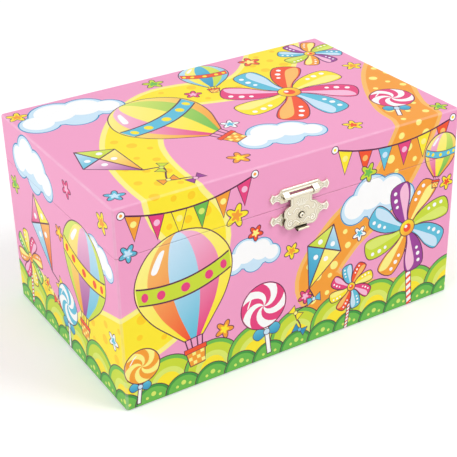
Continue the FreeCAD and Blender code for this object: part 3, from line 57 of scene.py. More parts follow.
def add_node(tree, kind, inputs=None, stops=(), feeds=None, **settings):
    """Adds a node with its settings and links.

    An input is a value or the socket that feeds it. A stop is a place on a ramp and its colour, and a
    new ramp already has two. What the node feeds is given by its output's name and a socket.
    """
    node = tree.nodes.new(kind)
    for name, value in settings.items():
        setattr(node, name, value)
    for name, value in (inputs or {}).items():
        if isinstance(value, bpy.types.NodeSocket):
            tree.links.new(value, node.inputs[name])
        else:
            node.inputs[name].default_value = value
    for number, (place, colour) in enumerate(stops):
        elements = node.color_ramp.elements
        stop = elements[number] if number < 2 else elements.new(place)
        stop.position = place
        stop.color = linear(colour)
    if feeds:
        output, socket = feeds
        tree.links.new(node.outputs[output], socket)
    return node


def new_material(name, **sockets):
    """A material with its nodes and its shader, whose values are given by name with _ for a space."""
    material = bpy.data.materials.new(name)
    material.use_nodes = True
    tree = material.node_tree
    shader = tree.nodes["Principled BSDF"]
    for socket, value in sockets.items():
        shader.inputs[socket.replace("_", " ")].default_value = value
    return material, tree, shader


def mottled(tree, shader, low, high, grain_mm, bump=0.0, bump_mm=0.05, coords=None):
    """Lets a noise of that grain vary the colour between two hex colours, and raise a fine bump."""
    coords = coords or add_node(tree, "ShaderNodeTexCoord").outputs["Object"]
    noise = add_node(tree, "ShaderNodeTexNoise", {"Vector": coords, "Scale": 1 / (grain_mm * MM),
                                                  "Detail": 4.0, "Roughness": 0.6})
    add_node(tree, "ShaderNodeValToRGB", {"Fac": noise.outputs["Fac"]}, ((0.3, low), (0.7, high)),
             ("Color", shader.inputs["Base Color"]))
    if bump:
        add_node(tree, "ShaderNodeBump",
                 {"Height": noise.outputs["Fac"], "Strength": bump, "Distance": bump_mm * MM},
                 feeds=("Normal", shader.inputs["Normal"]))
    return noise


def mottled_finish(name, low, high, grain_mm, bump=0.0, **sockets):
    """A material whose only pattern is a mottle."""
    material, tree, shader = new_material(name, **sockets)
    mottled(tree, shader, low, high, grain_mm, bump)
    return material


def dress(names, material):
    """Gives CAD nodes a material."""
    for name in names:
        for slot in nodes[name].material_slots:
            slot.material = material


# Fibreboard: pressed wood fibre, matt tan with a fine mottle and no direction.
fibreboard = mottled_finish("fibreboard", "A07F58", "BD9C72", grain_mm=1.5, bump=0.3, Roughness=0.85)
dress(["base_%s_board" % place for place in ("front", "back", "left", "right", "floor")], fibreboard)
dress(["lid_%s_strip" % place for place in ("front", "back", "left", "right")], fibreboard)
dress(["lid_top_board"], fibreboard)

# Printed paper: one sheet round the four walls and one over the lid, glued down, turned over the rims
# and under the floor, and cut along the seam so that the print runs on from the lid to the case.
PINK, LIGHT_PINK = "F3A1C9", "F9BEDB"
YELLOW, PALE_YELLOW, DEEP_YELLOW = "FFE92E", "FFF48A", "FFD21F"
ORANGE, PALE_ORANGE, RED = "F7A034", "FBBE66", "F4522B"
LIME, PALE_LIME, GREEN, DEEP_GREEN = "CBDD38", "DDEB6E", "6DBE4F", "3F9A45"
BLUE, PALE_BLUE, DEEP_BLUE = "5FC0DC", "CDE8FA", "2E95C4"
MAGENTA, PURPLE, PLUM, WHITE = "E8417F", "9B3F98", "5B2347", "FFFFFF"


def node_corners(name):
    """A CAD node's lowest and highest corners in millimetres, to the hundredth."""
    return [np.round(np.array(corner) / MM, 2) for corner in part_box(name)]


def node_middle(name):
    """The middle of a CAD node's box in millimetres."""
    return np.mean(node_corners(name), axis=0)


case_low, case_high = node_corners("base_wrap")
cover_low, cover_high = node_corners("lid_wrap")
BOX_W, BOX_D = 2 * case_high[:2]
BOX_H = cover_high[2]
SEAM_Z = (case_high[2] + cover_low[2]) / 2
# Radii of the upright corners, of the lid's top edge and of the folds over the rims.
CORNER, TOP_EDGE, RIM_FOLD = 1.2, 1.0, 0.22
FOLD = RIM_FOLD * math.pi / 2
# The papers' rims are this far from the middle of the seam, closer than the boards' rims, so that the seam
# is a faint line.
HALF_SEAM = 0.12
BASE_RIM, LID_RIM = SEAM_Z - HALF_SEAM, SEAM_Z + HALF_SEAM
# Where the walls' paper turns under the floor, and how far it goes under it, over a rim and on inside.
WALL_LOW = case_low[2] + RIM_FOLD
TURN_UNDER, RIM_WIDTH, TURN_IN = 0.85, 5.0, 0.9
PAPER_THICK = 0.2
# Nearer to a corner than this, the sheet is drawn together where it turns in.
MITRE = 8.0
# Rounding can leave a flat place bent by less than this.
LEAST_BEND = 0.01
# Distances round the walls from the back left corner: left, front, right and back.
CORNERS_AT = (0.0, BOX_D, BOX_D + BOX_W, 2 * BOX_D + BOX_W, 2 * BOX_D + 2 * BOX_W)
GIRTH = CORNERS_AT[-1]
WALL_MIDDLE = {"left": BOX_D / 2, "front": BOX_D + BOX_W / 2, "right": 1.5 * BOX_D + BOX_W,
               "back": 2 * BOX_D + 1.5 * BOX_W}


def unit(vectors):
    """The vectors at a length of 1."""
    return vectors / np.maximum(np.linalg.norm(vectors, axis=-1, keepdims=True), 1e-12)


def wound(points):
    """The same loop of points, running anticlockwise."""
    points = np.asarray(points, float)
    x, y = points.T
    turning = np.sum(x * np.roll(y, -1) - np.roll(x, -1) * y)
    return points if turning > 0 else points[::-1]


def grown(points, by):
    """A loop moved outwards by that much all round."""
    points = wound(points)
    before = unit(points - np.roll(points, 1, axis=0))
    after = unit(np.roll(points, -1, axis=0) - points)
    out_before = np.column_stack([before[:, 1], -before[:, 0]])
    out_after = np.column_stack([after[:, 1], -after[:, 0]])
    out = unit(out_before + out_after)
    stretch = 1 / np.maximum(0.5, np.sum(out * out_before, axis=1, keepdims=True))
    return points + out * by * stretch


def curve_through(points, steps, closed):
    """A smooth line through the points."""
    points = np.asarray(points, float)
    if closed:
        ring = np.vstack([points[-1:], points, points[:2]])
    else:
        ring = np.vstack([2 * points[0] - points[1], points, 2 * points[-1] - points[-2]])
    t = np.linspace(0, 1, steps, endpoint=False)[:, None]
    runs = []
    for a, b, c, d in zip(ring, ring[1:], ring[2:], ring[3:]):
        runs.append(0.5 * (2 * b + (c - a) * t + (2 * a - 5 * b + 4 * c - d) * t ** 2
                           + (3 * b - a - 3 * c + d) * t ** 3))
    return np.vstack(runs) if closed else np.vstack(runs + [points[-1:]])


def band(line, width):
    """The outline of a strip of that width along an open line."""
    line = np.asarray(line, float)
    way = unit(np.gradient(line, axis=0))
    side = np.column_stack([-way[:, 1], way[:, 0]]) * np.reshape(width, (-1, 1)) / 2
    return np.vstack([line - side, (line + side)[::-1]])


def round_shape(radius_at, count=40, middle=(0, 0)):
    """A loop whose radius is given for each angle."""
    turn = np.arange(count) * 2 * math.pi / count
    radius = np.array([radius_at(a) for a in turn])
    return np.column_stack([radius * np.cos(turn), radius * np.sin(turn)]) + np.asarray(middle, float)


def disc(radius, x=0.0, y=0.0, count=24):
    """A round loop about a place."""
    return round_shape(lambda a: radius, count, (x, y))


def flat(points, colour, second=None, way=(0.0, 1.0)):
    """One printed colour, or a blend from one to a second along a way."""
    return [(wound(points), colour, second or colour, np.array(way))]


def lined(points, colour, second=None, way=(0.0, 1.0), line=0.45):
    """A printed colour with a dark line round it."""
    return flat(grown(points, line), PLUM) + flat(points, colour, second, way)


def placed(layers, x, y, turn=0.0):
    """Layers moved to a place on the sheet and turned by degrees."""
    c, s = math.cos(math.radians(turn)), math.sin(math.radians(turn))
    rotate = np.array([[c, s], [-s, c]])
    return [(points @ rotate + (x, y), a, b, way @ rotate) for points, a, b, way in layers]


# Motifs of the print: toy-fair shapes in flat inks with a dark line, each drawn about its own middle
# in shares of its size. A pair of inks is a main ink and a paler one.
def star_print(radius, colour, second):
    """A soft five-pointed star with a smaller one in it."""
    shape = round_shape(lambda a: radius * (0.72 + 0.28 * math.cos(5 * (a - math.pi / 2))), 50)
    inner = round_shape(lambda a: radius * (0.4 + 0.13 * math.cos(5 * (a - math.pi / 2))), 30)
    return lined(shape, colour) + flat(inner, second)


def cloud_print(width):
    """A white cloud of round puffs with a pale shade and a blue line."""
    puffs = [(-0.36, -0.02, 0.2), (-0.12, 0.1, 0.27), (0.17, 0.06, 0.24), (0.38, -0.05, 0.17),
             (0.02, -0.08, 0.2)]
    line, white_share, white_lift = 0.016, 0.78, 0.028
    layers = []
    for x, y, r in puffs:
        layers += flat(disc((r + line) * width, x * width, y * width, 32), DEEP_BLUE)
    for x, y, r in puffs:
        layers += flat(disc(r * width, x * width, y * width, 32), PALE_BLUE)
    for x, y, r in puffs[:4]:
        layers += flat(disc(r * white_share * width, x * width, (y + white_lift) * width, 28), WHITE)
    return layers


def pinwheel_print(radius, inks, stick=0.0, lean=0.0):
    """A pinwheel of curled vanes with three dots on each, and a striped stick if it has a length."""
    layers = []
    if stick:
        pole = np.array([(0, 0), (lean / 2, -stick / 2), (lean, -stick)])
        layers += lined(band(pole, radius * 0.11), WHITE)
        stripe = np.array([(-0.055, -0.045), (0.055, 0.02), (0.055, 0.085), (-0.055, 0.02)]) * radius
        for step in np.arange(0.06, 1.0, 0.085):
            layers += flat(stripe + (lean * step, -stick * step), RED)
    sail = curve_through([(0.03, 0.0), (0.42, 0.34), (0.9, 0.42), (1.0, 0.06), (0.72, -0.02),
                          (0.36, 0.02)], 5, True) * radius
    curl = curve_through([(0.06, 0.02), (0.45, 0.14), (0.84, 0.22), (0.99, 0.08), (0.72, 0.0),
                          (0.36, 0.03)], 5, True) * radius
    vanes = 8
    for vane in range(vanes):
        ink, pale = inks[vane % len(inks)]
        blade = lined(sail, ink, line=0.5) + flat(curl, pale)
        for along, across, size in ((0.52, 0.27, 0.035), (0.66, 0.31, 0.045), (0.82, 0.33, 0.04)):
            blade += flat(disc(size * radius, along * radius, across * radius, 14), WHITE)
        layers += placed(blade, 0, 0, 360 * vane / vanes)
    layers += lined(disc(0.17 * radius), YELLOW, ORANGE, (0.5, -1.0)) + flat(disc(0.09 * radius), RED)
    return layers + flat(disc(0.035 * radius, -0.03 * radius, 0.035 * radius, 14), WHITE)


def balloon_print(radius, inks, belt, spots):
    """A hot-air balloon with striped gores, a spotted belt, ropes and a woven basket."""
    # The curve starts left of the crown, so that it is level where it crosses it, and is cut there.
    steps = 6
    right = curve_through([(-0.55, 0.84), (0.0, 1.0), (0.55, 0.84), (0.92, 0.4), (0.99, -0.08),
                           (0.78, -0.6), (0.44, -1.03), (0.2, -1.3)], steps, False)[steps:]
    skin = np.vstack([right, right[::-1] * (-1, 1)])[:-1] * radius
    layers = []
    for side in (-1, 1):
        for reach in (0.19, 0.07):
            rope = np.array([(side * reach, -1.28), (side * reach * 0.75, -1.62)]) * radius
            layers += flat(band(rope, 0.028 * radius), PLUM)
    basket = np.array([(-0.2, -1.6), (0.2, -1.6), (0.15, -1.92), (-0.15, -1.92)]) * radius
    layers += lined(basket, ORANGE)
    weave = np.array([(0, 0), (0.075, 0), (0.075, 0.075), (0, 0.075)])
    for row in range(3):
        for column in range(1 - row % 2, 4, 2):
            place = (-0.17 + 0.088 * column, -1.9 + 0.1 * row)
            layers += flat((weave + place) * radius, PALE_YELLOW)
    rail = np.array([(-0.23, -1.57), (0.23, -1.57)]) * radius
    layers += lined(band(rail, 0.09 * radius), RED, line=0.35)
    layers += lined(skin, inks[0][0], line=0.55)
    edges = (-1.0, -0.74, -0.3, 0.3, 0.74, 1.0)
    for gore, (a, b) in enumerate(zip(edges, edges[1:])):
        ink, pale = inks[gore % len(inks)]
        shape = np.vstack([right * (a, 1), (right * (b, 1))[::-1]]) * radius
        layers += flat(shape, ink, pale, (-0.6, 1.0))
    sag = 0.2
    across = np.linspace(-0.985, 0.985, 25)
    for low, high, ink in ((-0.155, 0.235, PLUM), (-0.12, 0.2, belt)):
        edges = []
        for level in (low, high):
            height = level + sag * (across ** 2 - 1)
            half_width = np.interp(height, right[::-1, 1], right[::-1, 0])
            edges.append(np.column_stack([across * half_width, height]))
        layers += flat(np.vstack([edges[0], edges[1][::-1]]) * radius, ink)
    spot, spot_height = 0.095, 0.04
    for place in (-0.82, -0.5, 0.0, 0.5, 0.82):
        narrowed = spot * math.sqrt(1 - 0.7 * place ** 2)
        shape = disc(1.0, count=20) * (narrowed, spot) + (place, spot_height + sag * (place ** 2 - 1))
        layers += flat(shape * radius, spots)
    gleam = curve_through([(-0.62, 0.42), (-0.42, 0.72), (-0.3, 0.76), (-0.36, 0.62), (-0.52, 0.36)], 5, True)
    return layers + flat(gleam * radius, WHITE)


def kite_print(size, inks, tail):
    """A kite of four inks with its spars and dots, and a share of its tail with bows."""
    corners = np.array([(0, 0.6), (0.42, 0.1), (0, -0.75), (-0.42, 0.1)]) * size
    route = np.array([(0, -0.75), (0.22, -1.0), (-0.1, -1.3), (0.16, -1.6), (-0.05, -1.9)]) * size
    steps = 7
    line = curve_through(route, steps, False)[:int((len(route) - 1) * steps * tail) + 2]
    layers = flat(band(line, 0.03 * size), PLUM)
    for index, (ink, pale) in zip(range(6, len(line), 8), inks * 2):
        way = unit(line[index] - line[index - 1])
        turn = math.degrees(math.atan2(way[1], way[0])) + 90
        bow = []
        for side in (-1, 1):
            loop = np.array([(0, 0), (side * 0.15, 0.09), (side * 0.15, -0.09)]) * size
            bow += lined(loop, ink, line=0.35)
        layers += placed(bow + lined(disc(0.04 * size, count=14), pale, line=0.3), *line[index], turn)
    layers += flat(grown(corners, 0.55), PLUM)
    middle = np.array([(0, 0.1)]) * size
    for a, b, (ink, pale) in zip(corners, np.roll(corners, -1, axis=0), inks):
        layers += flat(np.vstack([middle, a, b]), ink, pale, (0.3, 1.0))
    for a in corners:
        layers += flat(band(np.vstack([middle, a * 0.985]), 0.028 * size), PLUM)
    for x, y in ((-0.16, 0.22), (0.16, 0.22), (-0.13, -0.1), (0.13, -0.1)):
        layers += flat(disc(0.055 * size, x * size, y * size, 16), WHITE)
    return layers


def lolly_print(radius, inks, stick):
    """A round lolly of swirled sectors on a stick, with a blue bow under it."""
    layers = lined(band(np.array([(0, 0), (0, -stick / 2), (0, -stick)]), 0.16 * radius), WHITE)
    layers += lined(disc(radius, count=44), inks[0], line=0.5)
    sectors, twist = 10, 1.5
    reach = np.linspace(0.0, 0.985, 9)
    for sector in range(sectors):
        edges = []
        for edge in (sector, sector + 1):
            turn = 2 * math.pi * edge / sectors + twist * reach
            edges.append(np.column_stack([reach * np.cos(turn), reach * np.sin(turn)]))
        rim = 2 * math.pi * (sector + np.linspace(0, 1, 6)[1:-1]) / sectors + twist * reach[-1]
        arc = np.column_stack([np.cos(rim), np.sin(rim)]) * reach[-1]
        layers += flat(np.vstack([edges[0], arc, edges[1][:0:-1]]) * radius, inks[sector % len(inks)])
    bow_height = -1.22 * radius
    for side in (-1, 1):
        loop = curve_through([(0, 0), (side * 0.4, 0.26), (side * 0.62, 0.02), (side * 0.4, -0.24)], 5, True)
        layers += lined(loop * radius + (0, bow_height), BLUE, DEEP_BLUE, (0, -1), line=0.35)
    layers += lined(disc(0.13 * radius, 0, bow_height, 16), PALE_BLUE, line=0.35)
    gleam = curve_through([(-0.72, 0.2), (-0.5, 0.6), (-0.34, 0.7), (-0.5, 0.5), (-0.66, 0.2)], 4, True)
    return layers + flat(gleam * radius, WHITE)


def bunting_print(ends, inks, sag=6, flags=6, size=12):
    """A sagging string of flags with a dot on each, and a knot at each end."""
    (x0, z0), (x1, z1) = ends
    t = np.linspace(0, 1, 6 * flags + 1)
    line = np.column_stack([x0 + (x1 - x0) * t, z0 + (z1 - z0) * t - 4 * sag * t * (1 - t)])
    layers = []
    for flag in range(flags):
        a, b = line[6 * flag + 1], line[6 * flag + 5]
        tip = (a + b) / 2 - (0, size)
        ink, pale = inks[flag % len(inks)]
        layers += lined(np.vstack([a, b, tip]), ink, line=0.4)
        layers += flat(disc(0.13 * size, *((a + b) / 2 - (0, 0.34 * size)), 16), pale)
    layers += flat(band(line, 0.8), PLUM)
    for x, z in ends:
        layers += lined(disc(1.7, x, z, 16), WHITE, line=0.4) + flat(disc(0.8, x, z, 12), inks[0][0])
    return layers


def ribbon_print(way, width, ink, edge, dots, spacing):
    """A broad ribbon with paler edges and rows of dots, along a smooth line."""
    line = curve_through(way, 10, False)
    side = unit(np.gradient(line, axis=0))[:, ::-1] * (-1, 1)
    layers = flat(band(line, width), edge) + flat(band(line, width * 0.82), ink)
    run = np.concatenate([[0], np.cumsum(np.linalg.norm(np.diff(line, axis=0), axis=1))])
    sizes = (0.085, 0.05, 0.065)
    for row, across in enumerate((-0.27, 0.0, 0.27)):
        places = np.arange(spacing * (0.3 + 0.33 * row), run[-1] - 2, spacing)
        for number, place in enumerate(places):
            x, y = (np.interp(place, run, line[:, k] + across * width * side[:, k]) for k in (0, 1))
            layers += flat(disc(width * sizes[(number + row) % 3], x, y, 18), dots)
    return layers


CANDY = [(YELLOW, PALE_YELLOW), (RED, PALE_ORANGE), (BLUE, PALE_BLUE), (MAGENTA, LIGHT_PINK)]
GARDEN = [(LIME, PALE_LIME), (ORANGE, PALE_YELLOW), (PURPLE, LIGHT_PINK), (BLUE, PALE_BLUE)]
SUNSET = [(ORANGE, PALE_YELLOW), (MAGENTA, LIGHT_PINK), (YELLOW, PALE_YELLOW), (GREEN, PALE_LIME)]
LAGOON = [(BLUE, PALE_BLUE), (YELLOW, PALE_YELLOW), (DEEP_BLUE, BLUE), (LIME, PALE_LIME)]

# Ribbons that run from the lid's top over its edge and down a wall are drawn from the middle of the top,
# on the sheet with its walls folded out. The same layers are then laid on each wall that they reach. On the
# right wall only the dots run on, past the end of their ribbon.
crossing = ribbon_print(
    [(58, 176), (88, 134), (80, 98), (66, 61), (28, 24), (-22, 30), (-58, -8), (-66, -61), (-52, -90),
     (-72, -122), (-118, -138), (-150, -160), (-190, -150)], 30, YELLOW, PALE_YELLOW, DEEP_YELLOW, 14)
crossing += ribbon_print(
    [(120, 20), (92, -8), (74, -40), (70, -61), (52, -92), (24, -112), (12, -134), (44, -156), (90, -160),
     (130, -140), (180, -150), (214, -128)], 27, ORANGE, PALE_ORANGE, PALE_YELLOW, 13)
FRONT_OF_RIGHT_WALL = -30
top_art = list(crossing)
over_back = [layer for layer in crossing if layer[0][:, 1].max() > BOX_D / 2]
over_right = [layer for layer in crossing
              if layer[0][:, 0].max() > BOX_W / 2 and layer[0][:, 1].min() > FRONT_OF_RIGHT_WALL]
wall_art = placed(crossing, WALL_MIDDLE["front"], BOX_H + BOX_D / 2)
wall_art += placed(over_back, WALL_MIDDLE["back"], BOX_H + BOX_D / 2, 180)
wall_art += placed(over_right, WALL_MIDDLE["right"], BOX_H + BOX_W / 2, -90)

# Two rows of scallops round the foot of the case, the back row with rings and the front row with dots.
BACK_PITCH, BACK_HEIGHT, FRONT_PITCH = 24.0, 7.0, 16.0
for number in range(int(GIRTH / BACK_PITCH) + 1):
    middle = BACK_PITCH * number
    wall_art += lined(disc(15.5, middle, BACK_HEIGHT, 48), GREEN, line=0.5)
    for radius, count, ink in ((13.6, 44, LIME), (9.4, 36, PALE_LIME), (6.6, 30, YELLOW)):
        wall_art += flat(disc(radius, middle, BACK_HEIGHT, count), ink)
for number in range(int(GIRTH / FRONT_PITCH) + 1):
    middle = FRONT_PITCH * (number + 0.5)
    wall_art += lined(disc(9.6, middle, 0, 40), DEEP_GREEN) + flat(disc(8.4, middle, 0, 36), GREEN)
    for x, z, radius, count in ((0, 4.6, 1.3, 16), (-3.4, 3.2, 0.8, 14), (3.4, 3.2, 0.8, 14)):
        wall_art += flat(disc(radius, middle + x, z, count), PALE_LIME)


def decorate(art, middle, prints, star_turn, stars):
    """Adds prints to a sheet, each at its place from a middle and at its turn, and then scattered stars."""
    for layers, x, y, turn in prints:
        art.extend(placed(layers, middle + x, y, turn))
    for x, y, size, ink, pale in stars:
        art.extend(placed(star_print(size, ink, pale), middle + x, y, star_turn * size))


decorate(wall_art, WALL_MIDDLE["front"], [
    (cloud_print(40), 47, 68, 0), (cloud_print(28), -26, 60, 0),
    (bunting_print([(20, 102), (91, 101)], CANDY), 0, 0, 0),
    (bunting_print([(-91, 101), (-24, 102)], SUNSET), 0, 0, 0),
    (balloon_print(25, CANDY, LIME, MAGENTA), -62, 60, 6), (pinwheel_print(26, GARDEN, 46, 4), 66, 47, 0),
    (lolly_print(12.5, [MAGENTA, WHITE], 28), -20, 31, 6),
    (lolly_print(9, [ORANGE, PALE_YELLOW], 20), -86, 22, -8),
    (kite_print(25, LAGOON, 0.75), 14, 49, -24), (pinwheel_print(13, CANDY, 24, -3), 32, 24, 0),
    (balloon_print(10, SUNSET, BLUE, YELLOW), 85, 84, -8),
], 9, [
    (-34, 84, 6, YELLOW, ORANGE), (-24, 72, 4, RED, PALE_YELLOW), (40, 85, 5, LIME, GREEN),
    (-89, 82, 4.4, BLUE, PALE_BLUE), (-4, 56, 4.2, YELLOW, ORANGE), (-42, 26, 5, ORANGE, YELLOW),
    (4, 28, 4, MAGENTA, LIGHT_PINK), (90, 66, 4.2, YELLOW, RED), (36, 53, 4, WHITE, BLUE),
])
decorate(wall_art, WALL_MIDDLE["left"], [
    (cloud_print(42), -26, 88, 0), (cloud_print(28), 42, 72, 0),
    (balloon_print(22, GARDEN, YELLOW, RED), 26, 60, -8), (kite_print(29, CANDY, 0.8), -22, 58, 22),
    (pinwheel_print(15, SUNSET, 28, -3), -42, 32, 0), (lolly_print(10.5, [BLUE, WHITE], 26), 2, 27, -5),
], 11, [
    (50, 94, 5.4, YELLOW, ORANGE), (14, 95, 4.6, MAGENTA, LIGHT_PINK), (-52, 70, 5, LIME, GREEN),
    (52, 34, 4.6, WHITE, BLUE), (0, 66, 4.2, ORANGE, YELLOW), (-22, 27, 4, YELLOW, RED),
])
decorate(wall_art, WALL_MIDDLE["right"], [
    (cloud_print(42), 32, 86, 0), (balloon_print(23, LAGOON, MAGENTA, WHITE), 18, 58, 7),
    (pinwheel_print(18, CANDY, 32, 3), -30, 38, 0), (lolly_print(10.5, [RED, PALE_YELLOW], 24), 48, 28, 6),
    (kite_print(22, SUNSET, 0.6), -36, 80, -18),
], 13, [
    (-8, 86, 5.2, YELLOW, ORANGE), (50, 60, 5, LIME, GREEN), (-10, 64, 4.2, BLUE, PALE_BLUE),
    (-54, 54, 4.6, ORANGE, YELLOW), (-4, 27, 4, MAGENTA, LIGHT_PINK),
])
# The middle of the back wall is left plain round the winding key.
decorate(wall_art, WALL_MIDDLE["back"], [
    (cloud_print(46), 2, 68, 0), (cloud_print(34), 64, 90, 0),
    (pinwheel_print(24, SUNSET, 44, 4), -60, 48, 0), (balloon_print(23, GARDEN, BLUE, YELLOW), 62, 60, -6),
    (kite_print(27, CANDY, 0.7), -22, 66, 20), (lolly_print(11, [PURPLE, WHITE], 25), 30, 30, 6),
    (lolly_print(11, [GREEN, WHITE], 25), -28, 27, -6),
], 17, [
    (-80, 82, 5.6, YELLOW, ORANGE), (-42, 94, 4.6, LIME, GREEN), (28, 90, 5.2, MAGENTA, LIGHT_PINK),
    (86, 38, 5, ORANGE, YELLOW), (34, 56, 4.4, YELLOW, RED), (-86, 34, 4.4, BLUE, PALE_BLUE),
    (12, 48, 4, WHITE, BLUE),
])
decorate(top_art, 0, [
    (cloud_print(50), -66, 40, 4), (cloud_print(40), 6, -38, -6), (pinwheel_print(34, CANDY), 38, 3, 0),
    (balloon_print(25, SUNSET, BLUE, YELLOW), -32, 12, 24), (kite_print(28, GARDEN, 0.8), -76, -16, 28),
    (pinwheel_print(17, GARDEN), 78, 42, 0), (balloon_print(13, LAGOON, RED, YELLOW), 14, 48, -16),
    (lolly_print(11, [MAGENTA, WHITE], 22), 76, -32, -28),
], 10, [
    (-90, 52, 5.4, YELLOW, ORANGE), (-14, 52, 5.6, LIME, GREEN), (44, 50, 6, RED, PALE_YELLOW),
    (86, 14, 5.2, YELLOW, ORANGE), (-8, -14, 4.6, WHITE, BLUE), (-24, -48, 5.6, ORANGE, YELLOW),
    (40, -48, 5, YELLOW, RED), (-88, -50, 4.8, BLUE, PALE_BLUE), (-4, 28, 4.4, MAGENTA, LIGHT_PINK),
    (88, -54, 4.4, LIME, GREEN),
])


# Cutting and folding of the sheets. A sheet is cut flat along everything that is printed on it, and then
# folded round the box, so that each ink has its own faces and the folds are round.
CUT_SLACK = 1e-4


def cut_sheet(art, size, lines, holes, marks=()):
    """Cuts a flat sheet along its printed outlines.

    Gives its points, its triangles and the number of the layer on top in each, which is -1 for none.
    """
    (left, low), (right, high) = size
    points = [(left, low), (right, low), (right, high), (left, high)]
    loops = [[0, 1, 2, 3]]
    for outline in [layer[0] for layer in art] + list(holes):
        loops.append(list(range(len(points), len(points) + len(outline))))
        points.extend(outline)
    edges = []
    for line in lines:
        edges.append((len(points), len(points) + 1))
        points.extend(line)
    points.extend(marks)
    spots = [Vector((float(x), float(y))) for x, y in points]
    # Of what is found, item 0 is the points, 2 the triangles and 5 the loops that each triangle is in.
    found = geometry.delaunay_2d_cdt(spots, edges, loops, 0, CUT_SLACK, True)
    first_hole = len(art) + 1
    triangles, layers = [], []
    for triangle, inside in zip(found[2], found[5]):
        if 0 in inside and max(inside) < first_hole:
            triangles.append(triangle)
            layers.append(max(inside) - 1)
    return np.array([tuple(p) for p in found[0]]), np.array(triangles), layers


def open_edges(triangles):
    """Edges that only one triangle has, each in that triangle's direction."""
    seen = {}
    for a, b, c in triangles:
        for edge in ((a, b), (b, c), (c, a)):
            seen[edge] = True
    return [edge for edge in seen if edge[::-1] not in seen]


def round_the_box(s, inset):
    """The place, the way out and whether it is bent, at a distance round the box and an inset from it."""
    corner = np.argmin(np.abs(np.subtract.outer(s, CORNERS_AT)), axis=1)
    offset = s - np.array(CORNERS_AT)[corner]
    along = np.abs(offset)
    along = np.where(along < MITRE, inset + along * (MITRE - inset) / MITRE, along)
    radius = np.maximum(CORNER - inset, 1e-6)
    bend = np.clip(1 - (along - inset) / radius, 0, 1) * math.pi / 4
    depth = inset + radius * (1 - np.cos(bend))
    along = np.where(bend > 0, inset + radius * (1 - np.sin(bend)), along)
    corner_x = np.array([-1, -1, 1, 1, -1])[corner]
    corner_y = np.array([1, -1, -1, 1, 1])[corner]
    ways = np.array([(0, -1), (1, 0), (0, 1), (-1, 0), (0, -1)])
    after = ways[corner]
    before = ways[(corner - 1) % 4]
    onward = (offset >= 0)[:, None]
    run = np.where(onward, after, -before)
    wall = np.where(onward, after, before)
    out = np.column_stack([wall[:, 1], -wall[:, 0]])
    other = np.where(onward, before, after)
    other_out = np.column_stack([other[:, 1], -other[:, 0]])
    start = np.column_stack([corner_x * BOX_W / 2, corner_y * BOX_D / 2])
    place = start + run * along[:, None] - out * depth[:, None]
    normal = out * np.cos(bend)[:, None] + other_out * np.sin(bend)[:, None]
    return place, normal, bend > LEAST_BEND


def around_fold(t, z, radius, upward):
    """Inset, height and tilt of the way out on a quarter fold, at t from 0 to 1."""
    angle = np.clip(t, 0, 1) * math.pi / 2
    return radius * (1 - np.cos(angle)), z + upward * radius * np.sin(angle), upward * angle


def base_place(points):
    """Where a point of the case's sheet lies: under the floor, up a wall, over the rim and down inside."""
    s, p = points.T
    under = p < WALL_LOW
    fold = around_fold((WALL_LOW - p) / FOLD, WALL_LOW, RIM_FOLD, -1)
    inset, z, tilt = (np.where(under, a, b) for a, b in zip(fold, (0.0, p, 0.0)))
    inset += np.where(under, np.maximum(WALL_LOW - FOLD - p, 0), 0)
    return rim_place(s, p, inset, z, tilt, BASE_RIM - RIM_FOLD, 1)


def rim_place(s, p, inset, z, tilt, straight, upward):
    """Turns a sheet over a rim that starts at height straight, and down or up inside it."""
    past = (p - straight) * upward
    over = past > 0
    fold = around_fold(past / FOLD, straight, RIM_FOLD, upward)
    inset, z, tilt = (np.where(over, a, b) for a, b in zip(fold, (inset, z, tilt)))
    inset += np.where(over, np.clip(past - FOLD, 0, RIM_WIDTH), 0)
    turn = np.clip((past - FOLD - RIM_WIDTH) / FOLD, 0, 1) * math.pi / 2
    inset += RIM_FOLD * np.sin(turn)
    z -= upward * RIM_FOLD * (1 - np.cos(turn))
    tilt += upward * turn
    z -= upward * np.maximum(past - 2 * FOLD - RIM_WIDTH, 0)
    place, normal, bent = round_the_box(s, inset)
    out = np.column_stack([normal * np.cos(tilt)[:, None], np.sin(tilt)])
    return np.column_stack([place, z]), out, bent | (np.abs(tilt) > LEAST_BEND)


def lid_side_place(points):
    """Where a point of the lid's side lies, from the middle of the top edge down over the rim."""
    s, p = points.T
    inset, z, tilt = around_fold((p - BOX_H + TOP_EDGE) / TOP_EDGE / 2, BOX_H - TOP_EDGE, TOP_EDGE, 1)
    z = np.where(p < BOX_H - TOP_EDGE, p, z)
    return rim_place(s, p, inset, z, tilt, LID_RIM + RIM_FOLD, -1)


